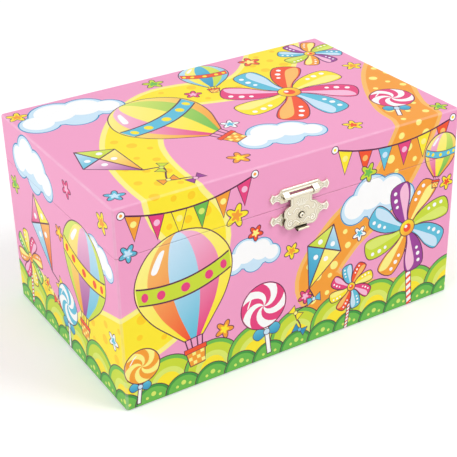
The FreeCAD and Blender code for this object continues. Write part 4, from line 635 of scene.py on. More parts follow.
def lid_top_place(points):
    """Where a point of the lid's top lies: close to an edge it is on the rounded edge."""
    x, y = points.T
    from_end, from_side = BOX_W / 2 - np.abs(x), BOX_D / 2 - np.abs(y)
    near = np.maximum(np.minimum(from_end, from_side), 0)
    far = np.maximum(from_end, from_side)
    along = np.where(far < MITRE, (far - near) * MITRE / (MITRE - np.minimum(near, TOP_EDGE)), far)
    left_right = from_end < from_side
    corner = np.select([(x < 0) & (y > 0), (x < 0), (y < 0)], [0, 1, 2], 3)
    onward = np.where(left_right, np.isin(corner, (0, 2)), np.isin(corner, (1, 3)))
    s = np.array(CORNERS_AT)[corner] + np.where(onward, along, -along)
    s = np.where(s < 0, s + GIRTH, s)
    inset, z, tilt = around_fold(0.5 + near / TOP_EDGE / 2, BOX_H - TOP_EDGE, TOP_EDGE, 1)
    place, normal = round_the_box(s, inset)[:2]
    edge = near <= TOP_EDGE
    place = np.where(edge[:, None], place, points)
    out = np.column_stack([normal * np.cos(tilt)[:, None], np.sin(tilt)])
    out = np.where(edge[:, None], out, (0, 0, 1))
    return np.column_stack([place, np.where(edge, z, BOX_H)]), out, tilt < math.pi / 2 - LEAST_BEND


def ink_at(points, layer):
    """The linear colour of each point under a printed layer."""
    outline, first, second, way = layer
    reach = outline @ way
    share = np.clip((points @ way - reach.min()) / np.ptp(reach), 0, 1)[:, None]
    return np.array(linear(first)) * (1 - share) + np.array(linear(second)) * share


def add_object(name, data):
    """A new object of that data, alone selected."""
    piece = bpy.data.objects.new(name, data)
    bpy.context.scene.collection.objects.link(piece)
    bpy.ops.object.select_all(action="DESELECT")
    piece.select_set(True)
    bpy.context.view_layer.objects.active = piece
    return piece


def paper_wrap(name, sheets):
    """Makes one closed paper piece: the printed face, a plain back behind it, and the cut edges."""
    vertices, known = [], {}

    def vertex(position):
        key = tuple(np.round(position, 3))
        if key not in known:
            known[key] = len(vertices)
            vertices.append(position)
        return known[key]

    printed, normals, colours, folds = [], [], [], []
    plain, backs = [], {}
    for art, size, lines, holes, place, marks in sheets:
        points, triangles, layers = cut_sheet(art, size, lines, holes, marks)
        spots, ways, bent = place(points)
        ids = {i: vertex(spots[i]) for i in np.unique(triangles)}
        for triangle, layer in zip(triangles, layers):
            corner_ids = [ids[i] for i in triangle]
            if len(set(corner_ids)) == 3:
                printed.append(corner_ids)
                normals.extend(ways[triangle])
                colours.extend([linear(PINK)] * 3 if layer < 0 else ink_at(points[triangle], art[layer]))
                folds.extend(bent[triangle].astype(float))
        rim = sorted({i for edge in open_edges(triangles) for i in edge})
        for i in rim:
            backs[ids[i]] = spots[i] - ways[i] * PAPER_THICK
        back_points, back_triangles = cut_sheet([], size, lines, holes, points[rim])[:2]
        back_spots, back_ways = place(back_points)[:2]
        back_spots -= back_ways * PAPER_THICK
        back_ids = {i: vertex(back_spots[i]) for i in np.unique(back_triangles)}
        for triangle in back_triangles:
            corner_ids = [back_ids[i] for i in triangle[::-1]]
            if len(set(corner_ids)) == 3:
                plain.append(corner_ids)
    for a, b in open_edges(printed):
        plain.append([b, a, vertex(backs[a]), vertex(backs[b])])
    plain_corners = sum(len(face) for face in plain)
    mesh = bpy.data.meshes.new(name)
    mesh.from_pydata([tuple(v * MM) for v in vertices], [], printed + plain)
    tint = mesh.color_attributes.new("print_ink", "FLOAT_COLOR", "CORNER")
    tint.data.foreach_set("color", np.array(colours + [linear(WHITE)] * plain_corners).ravel())
    fold = mesh.attributes.new("fold", "FLOAT", "CORNER")
    fold.data.foreach_set("value", np.array(folds + [0.0] * plain_corners))
    mesh.shade_smooth()
    mesh.normals_split_custom_set([tuple(n) for n in normals] + [(0.0, 0.0, 0.0)] * plain_corners)
    return add_object(name, mesh)


FOLD_STEPS = (0, 0.33, 0.67, 1)
# The sheets are cut away over the hinge leaves, which are let into the rims, and round the winding arbor.
HINGE_WIDTH, LEAF_THICK, KEY_HOLE = 24.0, 0.8, 2.5
leaves_low, leaves_high = node_corners("hinge_leaves_base")
hinge_middle = leaves_high[0] - HINGE_WIDTH / 2
leaf_over = FOLD + BOX_D / 2 - leaves_low[1] - RIM_FOLD
base_leaf_low, lid_leaf_high = case_high[2] - LEAF_THICK, cover_low[2] + LEAF_THICK


def upright_lines(low, high):
    """Lines up a sheet that divide the rounded corners."""
    steps = [-t for t in FOLD_STEPS[:0:-1]] + list(FOLD_STEPS)
    places = [c + step * CORNER for c in CORNERS_AT for step in steps if 0 < c + step * CORNER < GIRTH]
    return [((s, low), (s, high)) for s in places]


def level_lines(*folds):
    """Lines round a sheet that divide folds, each given by where it starts and how far up it goes."""
    heights = [start + reach * t for start, reach in folds for t in FOLD_STEPS]
    return [((0, h), (GIRTH, h)) for h in heights]


def mortice(middle, outer, inner):
    """The opening that a hinge leaf needs in a sheet."""
    low, high = sorted((outer, inner))
    left = WALL_MIDDLE["back"] + middle - HINGE_WIDTH / 2
    right = left + HINGE_WIDTH
    return [(left, low), (right, low), (right, high), (left, high)]


base_straight = BASE_RIM - RIM_FOLD
sheet_low = WALL_LOW - FOLD - TURN_UNDER
sheet_high = base_straight + 2 * FOLD + RIM_WIDTH + TURN_IN
base_lines = upright_lines(sheet_low, sheet_high) + level_lines(
    (WALL_LOW, -FOLD), (base_straight, FOLD), (base_straight + FOLD + RIM_WIDTH, FOLD))
base_holes = [mortice(side * hinge_middle, base_leaf_low, base_straight + leaf_over) for side in (-1, 1)]
base_holes.append(disc(KEY_HOLE, WALL_MIDDLE["back"], node_middle("winding_arbor")[2]))
case_art = [layer for layer in wall_art if layer[0][:, 1].min() < sheet_high]
base_wrap = paper_wrap("printed_case_paper", [
    (case_art, ((0, sheet_low), (GIRTH, sheet_high)), base_lines, base_holes, base_place, ())])

lid_straight = LID_RIM + RIM_FOLD
lid_low = lid_straight - 2 * FOLD - RIM_WIDTH - TURN_IN
lid_lines = upright_lines(lid_low, BOX_H) + level_lines(
    (lid_straight, -FOLD), (BOX_H, -TOP_EDGE), (lid_straight - FOLD - RIM_WIDTH, -FOLD))
lid_holes = [mortice(side * hinge_middle, lid_leaf_high, lid_straight - leaf_over) for side in (-1, 1)]
lid_art = [layer for layer in wall_art if layer[0][:, 1].max() > lid_low]
side_sheet = (lid_art, ((0, lid_low), (GIRTH, BOX_H)), lid_lines, lid_holes, lid_side_place, ())

# The top is divided along its rounded edges and corners, and marked wherever a cut of the sides meets it.
half_w, half_d = BOX_W / 2, BOX_D / 2
top_lines = []
for step in FOLD_STEPS[1:]:
    x, y = half_w - step * TOP_EDGE, half_d - step * TOP_EDGE
    ring = [(-x, -y), (x, -y), (x, y), (-x, y)]
    top_lines += list(zip(ring, ring[1:] + ring[:1]))
drawn_in = (MITRE - TOP_EDGE) / MITRE
for side_x in (-1, 1):
    for side_y in (-1, 1):
        outer = np.array([side_x * half_w, side_y * half_d])
        inner = outer - (side_x * TOP_EDGE, side_y * TOP_EDGE)
        for step in FOLD_STEPS:
            for way in (np.array((side_x, 0)), np.array((0, side_y))):
                reach = way * step * CORNER
                top_lines.append((outer - reach, inner - reach * drawn_in))
edge_marks = []
for s, height in cut_sheet(*side_sheet[:4])[0]:
    if abs(height - BOX_H) < CUT_SLACK:
        wall = min(np.searchsorted(CORNERS_AT, s, side="right") - 1, 3)
        run = s - CORNERS_AT[wall]
        edge_marks.append([(-half_w, half_d - run), (-half_w + run, -half_d), (half_w, -half_d + run),
                           (half_w - run, half_d)][wall])
lid_wrap = paper_wrap("printed_lid_paper", [
    side_sheet, (top_art, ((-half_w, -half_d), (half_w, half_d)), top_lines, [], lid_top_place, edge_marks)])

# Printed paper: offset print under a satin film, which gives a soft sheen and a faint orange-peel ripple.
# Its folds are painted paler, partly as wear from rubbing and partly as a painted highlight along the rounded
# edges. The ripple is drawn at 1.6 mm so that it shows.
WEAR_AND_HIGHLIGHT_MM, WEAR_AND_HIGHLIGHT_SHARE, WORN_AND_HIGHLIGHT_INK, RIPPLE_MM = 6.0, 0.28, "FFF3F8", 1.6
printed_paper, tree, shader = new_material("satin_printed_paper", Roughness=0.42, IOR=1.5,
                                           Specular_IOR_Level=0.22)
coords = add_node(tree, "ShaderNodeTexCoord").outputs["Object"]
print_ink = add_node(tree, "ShaderNodeAttribute", attribute_name="print_ink").outputs["Color"]
fold_mark = add_node(tree, "ShaderNodeAttribute", attribute_name="fold").outputs["Fac"]
# A noise and the fold mark mix the folds towards a pale ink: partly wear from rubbing, partly a painted
# highlight.
wear_and_highlight_noise = add_node(tree, "ShaderNodeTexNoise", {"Vector": coords, "Scale": 1 / (WEAR_AND_HIGHLIGHT_MM * MM), "Detail": 3.0})
wear_and_highlight = wear_and_highlight_noise.outputs["Fac"]
for factor in (fold_mark, WEAR_AND_HIGHLIGHT_SHARE):
    wear_and_highlight = add_node(tree, "ShaderNodeMath", {0: wear_and_highlight, 1: factor}, operation="MULTIPLY").outputs["Value"]
add_node(tree, "ShaderNodeMix", {"Factor": wear_and_highlight, "A": print_ink, "B": linear(WORN_AND_HIGHLIGHT_INK)},
         feeds=("Result", shader.inputs["Base Color"]), data_type="RGBA")
ripple = add_node(tree, "ShaderNodeTexNoise", {"Vector": coords, "Scale": 1 / (RIPPLE_MM * MM),
                                               "Detail": 2.0})
add_node(tree, "ShaderNodeBump", {"Height": ripple.outputs["Fac"], "Strength": 0.06, "Distance": 0.05 * MM},
         feeds=("Normal", shader.inputs["Normal"]))


def finish_piece(piece, material, body, slot, *replaced):
    """Gives a finished piece its material and its place in the frame."""
    piece.data.materials.clear()
    piece.data.materials.append(material)
    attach(piece, body)
    if replaced:
        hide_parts(*replaced)
    return piece


finish_piece(base_wrap, printed_paper, "base", "printed_paper", "base_wrap")
finish_piece(lid_wrap, printed_paper, "lid", "printed_paper", "lid_wrap")


# Metal fittings. Nickel: bright plating on pressed steel, warm grey, with a soft polish. On pressed pieces
# the wells, steep sheared edges and the foot of raised lines are painted dark, partly as a dull film and
# partly as painted shade, and the high places are painted bright, partly as polish and partly as a painted
# highlight.
def nickel_finish(name, relief):
    """Nickel plating, which takes its tones from a relief where it has one."""
    material, tree, shader = new_material(name, Metallic=1.0, Roughness=0.34)
    noise = mottled(tree, shader, "D2CCBC", "E4DFD1", grain_mm=2.5)
    if relief:
        height = add_node(tree, "ShaderNodeAttribute", attribute_name="relief")
        # Tones from dark to pale: wells and steep edges as dull film and painted shade, the ground, a darker
        # line at the foot of raised lines as film and painted shade, places without relief, and tops with a
        # painted highlight.
        add_node(tree, "ShaderNodeValToRGB", {"Fac": height.outputs["Fac"]},
                 ((0.0, "4A4438"), (0.15, "E2DAC4"), (0.3, "BAB098"), (0.5, "EAE4D2"), (0.85, "FFFCF2")),
                 ("Color", shader.inputs["Base Color"]))
    add_node(tree, "ShaderNodeMapRange", {"Value": noise.outputs["Fac"], "To Min": 0.32, "To Max": 0.44},
             feeds=("Result", shader.inputs["Roughness"]))
    return material


def solid_copy(node, name):
    """A copy of a CAD node's mesh as a new piece, with its loose triangles joined."""
    piece = add_object(name, nodes[node].data.copy())
    bpy.ops.mesh.customdata_custom_splitnormals_clear()
    bpy.ops.object.mode_set(mode="EDIT")
    bpy.ops.mesh.select_all(action="SELECT")
    bpy.ops.mesh.remove_doubles(threshold=1e-6)
    bpy.ops.mesh.dissolve_limited(angle_limit=math.radians(0.5))
    bpy.ops.object.mode_set(mode="OBJECT")
    piece.data.materials.clear()
    return piece


def apply_modifier(piece, name, kind, **settings):
    """Shapes the active piece with a modifier."""
    modifier = piece.modifiers.new(name, kind)
    for setting, value in settings.items():
        setattr(modifier, setting, value)
    bpy.ops.object.modifier_apply(modifier=name)


# Edges that turn by more than the first angle are eased. Those that turn by less than the second are
# shaded smooth.
EASED_FROM, SMOOTH_UNDER = math.radians(35), math.radians(40)


def softened(node, name, edge_mm, material, body, slot):
    """A copy of a CAD node with its sharp edges eased, in place of the node."""
    piece = solid_copy(node, name)
    apply_modifier(piece, "eased_edges", "BEVEL", width=edge_mm * MM, segments=2, limit_method="ANGLE",
                   angle_limit=EASED_FROM)
    bpy.ops.object.shade_smooth_by_angle(angle=SMOOTH_UNDER)
    return finish_piece(piece, material, body, slot, node)


pressed_nickel = nickel_finish("pressed_nickel_plate", True)
nickel = nickel_finish("nickel_plated_steel", False)

# Front catch: an upper plate with two rolled knuckles, a hinged flap and a lower plate with a stud, pressed
# from nickel-plated steel sheet with raised scrolls, and nailed to the lid and the case.
CATCH_SHEET, FLAP_GAP, STUD_DROP = 0.8, 0.4, 5.4
PLATE_FRONT = case_low[1] - CATCH_SHEET
FLAP_FRONT = PLATE_FRONT - FLAP_GAP - CATCH_SHEET
PLATE_RELIEF, FLAP_RELIEF = 0.28, 0.26
STUD_X, STUD_Z = 0.0, SEAM_Z - STUD_DROP
# The nails are in the middle of the plates' wings.
UPPER_WING_Z, LOWER_WING_Z = node_middle("catch_nails_upper")[2], node_middle("catch_nails_lower")[2]
# Raised lines along the upper plate: height, width and level. They fade out at their ends.
BAND_LINES, BAND_END, BAND_FADE = ((89.95, 0.34, 1.0), (88.5, 0.5, 0.85)), 10.4, 0.6
# The beads round the stud hole: their number, the radius of their ring, their width and their level.
BEADS, BEAD_RING, BEAD_WIDTH, BEAD_LEVEL = 12, 2.6, 0.34, 0.8
# A well is the number of the axis along it, its middle across that axis, its radius and its reach along it.
PIN_BORE = (0, node_middle("catch_pin")[1:], 0.8, 12.0)
STUD_HOLE = (1, (STUD_X, STUD_Z), 2.0, 70.0)
TAB_BEND = (0, (-63.7, 69.3), 0.9, 3.2)
# The dimple in the stud's head: its radius, how far it starts in front of the plate, and its depth.
STUD_DIMPLE = (0.5, 1.2, 0.7)
# Tones of the wells, dark with a dull film and painted shade, of the ground between raised lines
# and of places without relief. The tops are 1, bright with polish and a painted highlight.
DULL_AND_SHADED, GROUND, PLAIN = 0.0, 0.15, 0.5
# Relief is on places this near to the front plane. It rises to its full height between two shares of how
# squarely a place faces forward. A well's wall faces the well's axis by at least its own share.
FRONT_REACH, RELIEF_FROM, RELIEF_FULL, WELL_FACING = 0.25, 0.6, 0.95, 0.3
PRESSED_VOXEL = 0.12


def raised(x, z, lines):
    """The height of each place under drawn lines: a line's level on it, fading to 0 over its width."""
    height = np.zeros(len(x))
    for line, width, level in lines:
        nearest = np.full(len(x), np.inf)
        for px, pz in line:
            nearest = np.minimum(nearest, (x - px) ** 2 + (z - pz) ** 2)
        height = np.maximum(height, level * np.exp(-nearest / width ** 2))
    return height


def scroll(x, z, start, end, radius, turns):
    """A spiral about a middle that opens from its eye to its radius between two angles in degrees."""
    t = np.linspace(0.12, 1, 40)
    turn = np.radians(start + (end - start + 360 * turns) * t)
    return np.column_stack([x + radius * t * np.cos(turn), z + radius * t * np.sin(turn)])


def plate_relief(x, z, middle_z):
    """A border along each wing and a leaf in it."""
    border = curve_through([(11.7, 1.95), (13.3, 1.15), (14.9, 1.95), (15.9, 0.0), (14.9, -1.95),
                            (13.3, -1.15), (11.7, -1.95)], 8, False) + (0, middle_z)
    leaf = curve_through([(10.6, 0.0), (11.6, 0.7), (12.5, 0.0), (11.6, -0.7)], 6, True) + (0, middle_z)
    return raised(np.abs(x), z, [(border, 0.4, 0.8), (leaf, 0.35, 0.6)])


def upper_relief(x, z):
    """Two raised lines along the band above the window, and the wings."""
    along = np.clip((BAND_END - np.abs(x)) / BAND_FADE, 0, 1)
    height = plate_relief(x, z, UPPER_WING_Z)
    for line_z, width, level in BAND_LINES:
        height = np.maximum(height, level * along * np.exp(-((z - line_z) / width) ** 2))
    return height


def lower_relief(x, z):
    """The wings alone."""
    return plate_relief(x, z, LOWER_WING_Z)


def flap_relief(x, z):
    """Raised border, pairs of scrolls, a shell under the curl and beads round the stud hole."""
    border = curve_through([(5.2, 84.6), (5.2, 81.5), (7.3, 80.2), (8.7, 78.5), (8.7, 76.4), (7.8, 75.1),
                            (8.5, 72.4), (7.8, 70.7), (6.3, 69.9), (4.4, 70.1), (3.0, 70.3)], 10, False)
    lines = [(border, 0.36, 0.6),
             (scroll(6.2, 72.3, -70, 110, 1.6, 1.0), 0.32, 0.9),
             (scroll(6.0, 77.7, 250, 40, 1.7, 1.0), 0.32, 0.9),
             (curve_through([(1.0, 71.2), (2.4, 72.6), (4.0, 73.2), (4.6, 72.2)], 10, False), 0.32, 0.8),
             (curve_through([(1.4, 79.0), (2.8, 79.3), (4.0, 78.6), (4.5, 77.4)], 10, False), 0.32, 0.8),
             (disc(BEAD_RING, STUD_X, STUD_Z, BEADS), BEAD_WIDTH, BEAD_LEVEL)]
    for fan in (0.0, 0.9, 1.8, 2.7):
        tip = (fan * 1.3, 83.9 - 0.28 * fan ** 2)
        rib = curve_through([(fan * 0.6, 80.4), (fan * 0.95, 82.0), tip], 12, False)
        lines.append((rib, 0.22, 0.85))
    return raised(np.abs(x), z, lines)


def on_well_wall(places, ways, axis, middle, radius, end):
    """Which points are on a well's wall, and so face its axis."""
    across = [k for k in range(3) if k != axis]
    away = places[:, across] - middle
    reach = np.linalg.norm(away, axis=1)
    facing = np.sum(away * ways[:, across], axis=1) < -WELL_FACING * reach
    return facing & (reach < radius) & (np.abs(places[:, axis]) < end)


def pressed_piece(node, name, front, relief_at, depth, body, wells=(), sheared=1.0, dimple=None):
    """A fine copy of a pressed plate, its edges softened, its front raised by a relief and its wells
    painted dark as a dull film and painted shade.

    Its sheared edge is painted dark too, as painted shade, where it turns aside or down by more than a share.
    """
    piece = solid_copy(node, name)
    piece.data.transform(Matrix.Scale(1 / MM, 4))
    piece.data.remesh_voxel_size = PRESSED_VOXEL
    bpy.ops.object.voxel_remesh()
    apply_modifier(piece, "rolled_edges", "SMOOTH", factor=0.5, iterations=4)
    mesh = piece.data
    places = np.array([v.co for v in mesh.vertices])
    ways = np.array([v.normal for v in mesh.vertices])
    tone = np.full(len(places), PLAIN)
    # Well walls and steep sheared edges are painted dark: a dull film in the wells, and painted shade.
    for well in wells:
        tone[on_well_wall(places, ways, *well)] = DULL_AND_SHADED
    tone[np.maximum(np.abs(ways[:, 0]), -ways[:, 2]) > sheared] = DULL_AND_SHADED
    # The relief is on what faces forward close to the front plane, and fades out where that turns away.
    forward = -ways[:, 1]
    face = (forward > RELIEF_FROM) & (np.abs(places[:, 1] - front) < FRONT_REACH) & (tone > DULL_AND_SHADED)
    level = np.clip((forward[face] - RELIEF_FROM) / (RELIEF_FULL - RELIEF_FROM), 0, 1)
    height = relief_at(places[face, 0], places[face, 2]) * level
    # Higher places get paler tones, as polish and a painted highlight, and the foot of a line a darker one,
    # as painted shade.
    tone[face] = (GROUND + (1 - GROUND) * height) * level + PLAIN * (1 - level)
    places[face, 1] -= depth * height
    # The dimple in the stud's head is sunk and painted dark as shade.
    if dimple:
        radius, proud, sink = dimple
        from_eye = np.hypot(places[:, 0] - STUD_X, places[:, 2] - STUD_Z)
        sunk = (from_eye < radius) & (places[:, 1] < front - proud)
        places[sunk, 1] += sink
        tone[sunk] = DULL_AND_SHADED
    mesh.vertices.foreach_set("co", places.ravel())
    mesh.attributes.new("relief", "FLOAT", "POINT").data.foreach_set("value", tone)
    apply_modifier(piece, "blunted_relief", "SMOOTH", factor=0.5, iterations=1)
    piece.data.transform(Matrix.Scale(MM, 4))
    piece.data.shade_smooth()
    return finish_piece(piece, pressed_nickel, body, "nickel", node)


pressed_piece("catch_upper_plate", "catch_plate_on_lid", PLATE_FRONT, upper_relief, PLATE_RELIEF, "lid",
              wells=[PIN_BORE])
pressed_piece("catch_lower_plate", "catch_plate_on_case", PLATE_FRONT, lower_relief, PLATE_RELIEF, "base",
              dimple=STUD_DIMPLE)
pressed_piece("catch_flap", "catch_hinged_flap", FLAP_FRONT, flap_relief, FLAP_RELIEF, "catch_flap",
              wells=[STUD_HOLE, TAB_BEND], sheared=0.75)
softened("catch_pin", "catch_wire_pin", 0.12, nickel, "lid", "nickel")
dress(["catch_nails_upper", "catch_nails_lower"], nickel)

# Lid hinges: two small butt hinges with their leaves let into the rims, knuckles behind the back wall, a
# bar and a nib that stop the lid just past upright, and nails driven flush.
softened("hinge_leaves_base", "hinge_leaves_on_case", 0.15, nickel, "base", "nickel")
softened("hinge_leaves_lid", "hinge_leaves_on_lid", 0.15, nickel, "lid", "nickel")
softened("hinge_pins", "hinge_wire_pins", 0.12, nickel, "base", "nickel")
dress(["hinge_nails_base", "hinge_nails_lid"], nickel)

# Winding key and its escutcheon on the back: a pressed wing key on a turned hub, screwed onto the winding
# arbor, and a domed ring round the hole in the back board. Both are nickel-plated steel.
softened("winding_key", "wing_key", 0.3, nickel, "winding", "nickel")
softened("key_escutcheon", "key_ring_plate", 0.1, nickel, "base", "nickel")


# Linings of the tray, the stage and the lid: card covered with short pink flock and glued to the boards.
# Flock is a matt pile of upright fibres, which glows softly at glancing angles and marks when brushed.
def flock_finish(name, low, high, pile_mm):
    """Short pile with a mottle of that size, shaded in broad patches where it is brushed."""
    material, tree, shader = new_material(name, Roughness=0.95, Sheen_Weight=0.6, Sheen_Roughness=0.4,
                                          Sheen_Tint=linear("FFDDEC"), Specular_IOR_Level=0.1)
    brushed_mm = 26
    coords = add_node(tree, "ShaderNodeTexCoord").outputs["Object"]
    fibres = mottled(tree, shader, low, high, pile_mm, bump=0.6, bump_mm=0.3, coords=coords)
    fibres.inputs["Detail"].default_value = 6.0
    brushed = add_node(tree, "ShaderNodeTexNoise", {"Vector": coords, "Scale": 1 / (brushed_mm * MM),
                                                    "Distortion": 0.8})
    nap = add_node(tree, "ShaderNodeMapRange", {"Value": brushed.outputs["Fac"], "From Min": 0.35,
                                                "From Max": 0.65, "To Min": 0.93, "To Max": 1.05})
    colour = shader.inputs["Base Color"]
    add_node(tree, "ShaderNodeHueSaturation", {"Color": colour.links[0].from_socket,
                                               "Value": nap.outputs["Result"]}, feeds=("Color", colour))
    return material


pink_flock = flock_finish("pink_flocked_card", "DA7AAD", "EA94C0", 0.7)
softened("tray_lining", "flocked_tray_lining", 0.25, pink_flock, "base", "lining_cloth")
softened("stage_backcloth", "flocked_stage_wall", 0.25, pink_flock, "base", "lining_cloth")
softened("lid_lining", "flocked_lid_lining", 0.25, pink_flock, "lid", "lining_cloth")

# Stage: a fibreboard deck across the back of the case, glued to a partition of the same board, and
# covered on top with the same flocked card.
softened("stage_deck", "flocked_stage_deck", 0.3, pink_flock, "base", "lining_cloth")
dress(["stage_partition"], fibreboard)

# Ring holder: a foam block with five foam rolls glued on it side by side, all covered in soft plush. Rings
# are pushed down between the rolls. The rolls swell a little unevenly where the foam fills the plush.
plush = flock_finish("pale_pink_plush", "E78DBB", "F6B6D4", 1.1)
ring_block = softened("ring_block", "plush_covered_ring_block", 0.9, plush, "base", "roll_cloth")
ROLL_SCALE, ROLL_VOXEL, ROLL_FRAMES, ROLL_PRESSURE, ROLL_SWELL = 20.0, 0.026, 12, 4, 0.28
rolls = solid_copy("ring_rolls", "plush_ring_rolls")
rolls.data.transform(Matrix.Scale(ROLL_SCALE, 4))
rolls.data.remesh_voxel_size = ROLL_VOXEL
bpy.ops.object.voxel_remesh()
start = np.array([v.co for v in rolls.data.vertices])
cloth = rolls.modifiers.new("plush_cover", "CLOTH")
cloth.settings.use_pressure = True
cloth.settings.uniform_pressure_force = ROLL_PRESSURE
cloth.settings.effector_weights.gravity = 0
for number in range(1, ROLL_FRAMES + 1):
    bpy.context.scene.frame_set(number)
bpy.ops.object.modifier_apply(modifier=cloth.name)
bpy.context.scene.frame_set(1)
moved = np.array([v.co for v in rolls.data.vertices]) - start
most = ROLL_SWELL * MM * ROLL_SCALE
moved *= np.minimum(1, most / np.maximum(np.linalg.norm(moved, axis=1, keepdims=True), 1e-9))
rolls.data.vertices.foreach_set("co", (start + moved).ravel())
apply_modifier(rolls, "soft_plush", "SMOOTH", iterations=4)
apply_modifier(rolls, "finer", "SUBSURF", levels=1, render_levels=1)
rolls.data.transform(Matrix.Scale(1 / ROLL_SCALE, 4))
rolls.data.shade_smooth()
finish_piece(rolls, plush, "base", "roll_cloth", "ring_rolls")

# Lid mirror: silvered float glass with a ground bevel, in a moulded frame that is glued to the lining.
# Silvering is bright with barely any haze. Pearl polystyrene is glossy and pale pink, with soft clouds.
silvering = mottled_finish("silvered_glass", "E6EAEC", "EEF1F2", grain_mm=30.0, Metallic=1.0,
                           Roughness=0.03)
dress(["lid_mirror"], silvering)
pearl_plastic = mottled_finish("pearl_polystyrene", "F6D7E6", "FBE9F1", grain_mm=4.0, bump=0.04,
                               Roughness=0.25, IOR=1.59, Coat_Weight=0.3)
softened("mirror_frame", "moulded_mirror_frame", 0.5, pearl_plastic, "lid", "frame_plastic")

# Presser in the lid and the wire that it holds down: a card block covered with flock and glued to the
# lining, and steel wire that slides in the deck. Drawn steel is a bright grey with a faint haze.
bright_steel = mottled_finish("bright_drawn_steel", "A9ABAF", "C2C4C8", grain_mm=1.2, bump=0.05,
                              Metallic=1.0, Roughness=0.3)
softened("lid_presser", "flocked_presser", 0.4, pink_flock, "lid", "lining_cloth")
dress(["stop_wire"], bright_steel)

# Musical movement, screwed inside the back board under the stage: a zinc die casting, brass wheels and
# cylinder, a hardened steel comb and spring, and moulded acetal fan wheels. The zinc is dull and grainy,
# the turned brass warm and bright, and the acetal a milky off-white.
cast_zinc = mottled_finish("die_cast_zinc", "8E8F91", "A5A6A8", grain_mm=0.8, bump=0.2, Metallic=0.9,
                           Roughness=0.5)
turned_brass = mottled_finish("turned_brass", "C19A45", "D6B462", grain_mm=2.0, bump=0.04, Metallic=1.0,
                              Roughness=0.28)
acetal = mottled_finish("moulded_acetal", "E6E2D4", "F1EEE4", grain_mm=3.0, bump=0.05, Roughness=0.45,
                        Subsurface_Weight=0.05)
dress(["movement_frame"], cast_zinc)
dress(["spring_housing", "cylinder_pinion", "pin_cylinder", "cylinder_end_wheel", "drive_wheel",
       "spindle_pinion", "spindle_foot"], turned_brass)
dress(["mainspring", "comb", "comb_screws", "movement_screws", "cylinder_arbor", "winding_arbor",
       "spindle_shaft"], bright_steel)
dress(["idler_gear", "governor_fan"], acetal)

# Sheet under the floor: plain uncoated card, cut a little smaller than the case and glued over the paper's
# turned edge. It is matt and off-white, with a fine fibrous tooth.
plain_card = mottled_finish("uncoated_card", "EFE9E2", "F7F3EE", grain_mm=1.0, bump=0.15, Roughness=0.9)
dress(["underside_sheet"], plain_card)

# Dancer's stand and coil spring: a moulded disc pressed on the spindle, and a steel wire wound in three
# turns, its two straight ends pressed into the disc and the plinth. The white polystyrene is glossy.
DANCER_Y = node_middle("dancer_stand")[1]
white_plastic = mottled_finish("white_polystyrene", "F4F0EC", "FBF8F5", grain_mm=3.0, bump=0.03,
                               Roughness=0.3, IOR=1.59)
softened("dancer_stand", "dancer_stand_disc", 0.3, white_plastic, "dancer", "stand_plastic")
COIL_WIRE, COIL_TURNS, COIL_STEPS, COIL_STRAIGHT, COIL_BEND = 0.45, 3, 16, 0.9, 1.0
coil_low, coil_high = node_corners("dancer_spring")
coil_radius = coil_high[0] - COIL_WIRE
coil_curve = bpy.data.curves.new("dancer_coil_spring", "CURVE")
coil_curve.dimensions = "3D"
coil_curve.bevel_depth = COIL_WIRE * MM
coil_curve.bevel_resolution = 4
coil_curve.use_fill_caps = True
front_y, back_y = DANCER_Y - COIL_BEND, DANCER_Y + COIL_BEND
low, high = coil_low[2] + COIL_STRAIGHT, coil_high[2] - COIL_STRAIGHT
route = [(coil_radius, front_y, coil_low[2]), (coil_radius, front_y, low)]
for step in range(COIL_STEPS * COIL_TURNS + 1):
    turn = 2 * math.pi * step / COIL_STEPS
    rise = (high - low - 2 * COIL_BEND) * step / (COIL_STEPS * COIL_TURNS)
    x, y = coil_radius * math.cos(turn), DANCER_Y + coil_radius * math.sin(turn)
    route.append((x, y, low + COIL_BEND + rise))
route += [(coil_radius, back_y, high), (coil_radius, back_y, coil_high[2])]
wire = coil_curve.splines.new("NURBS")
wire.points.add(len(route) - 1)
for point, (x, y, z) in zip(wire.points, route):
    point.co = (x * MM, y * MM, z * MM, 1)
wire.order_u = 3
wire.use_endpoint_u = True
add_object("dancer_coil_spring", coil_curve)
bpy.ops.object.convert(target="MESH")
bpy.ops.object.shade_smooth_by_angle(angle=math.radians(60))
finish_piece(bpy.context.object, bright_steel, "dancer", "steel", "dancer_spring")

# Dancer: a small figure moulded in plastic with raised arms, on pointe on a round plinth, hand painted in
# zones: slippers, tights, bodice and skin, with a plain doll's face. It is drawn in heads from its feet.
PLINTH_HEIGHT, HEAD, FIGURE_VOXEL = 1.4, 4.595, 0.034
FOOT_Z = node_corners("dancer_figure")[0][2] + PLINTH_HEIGHT
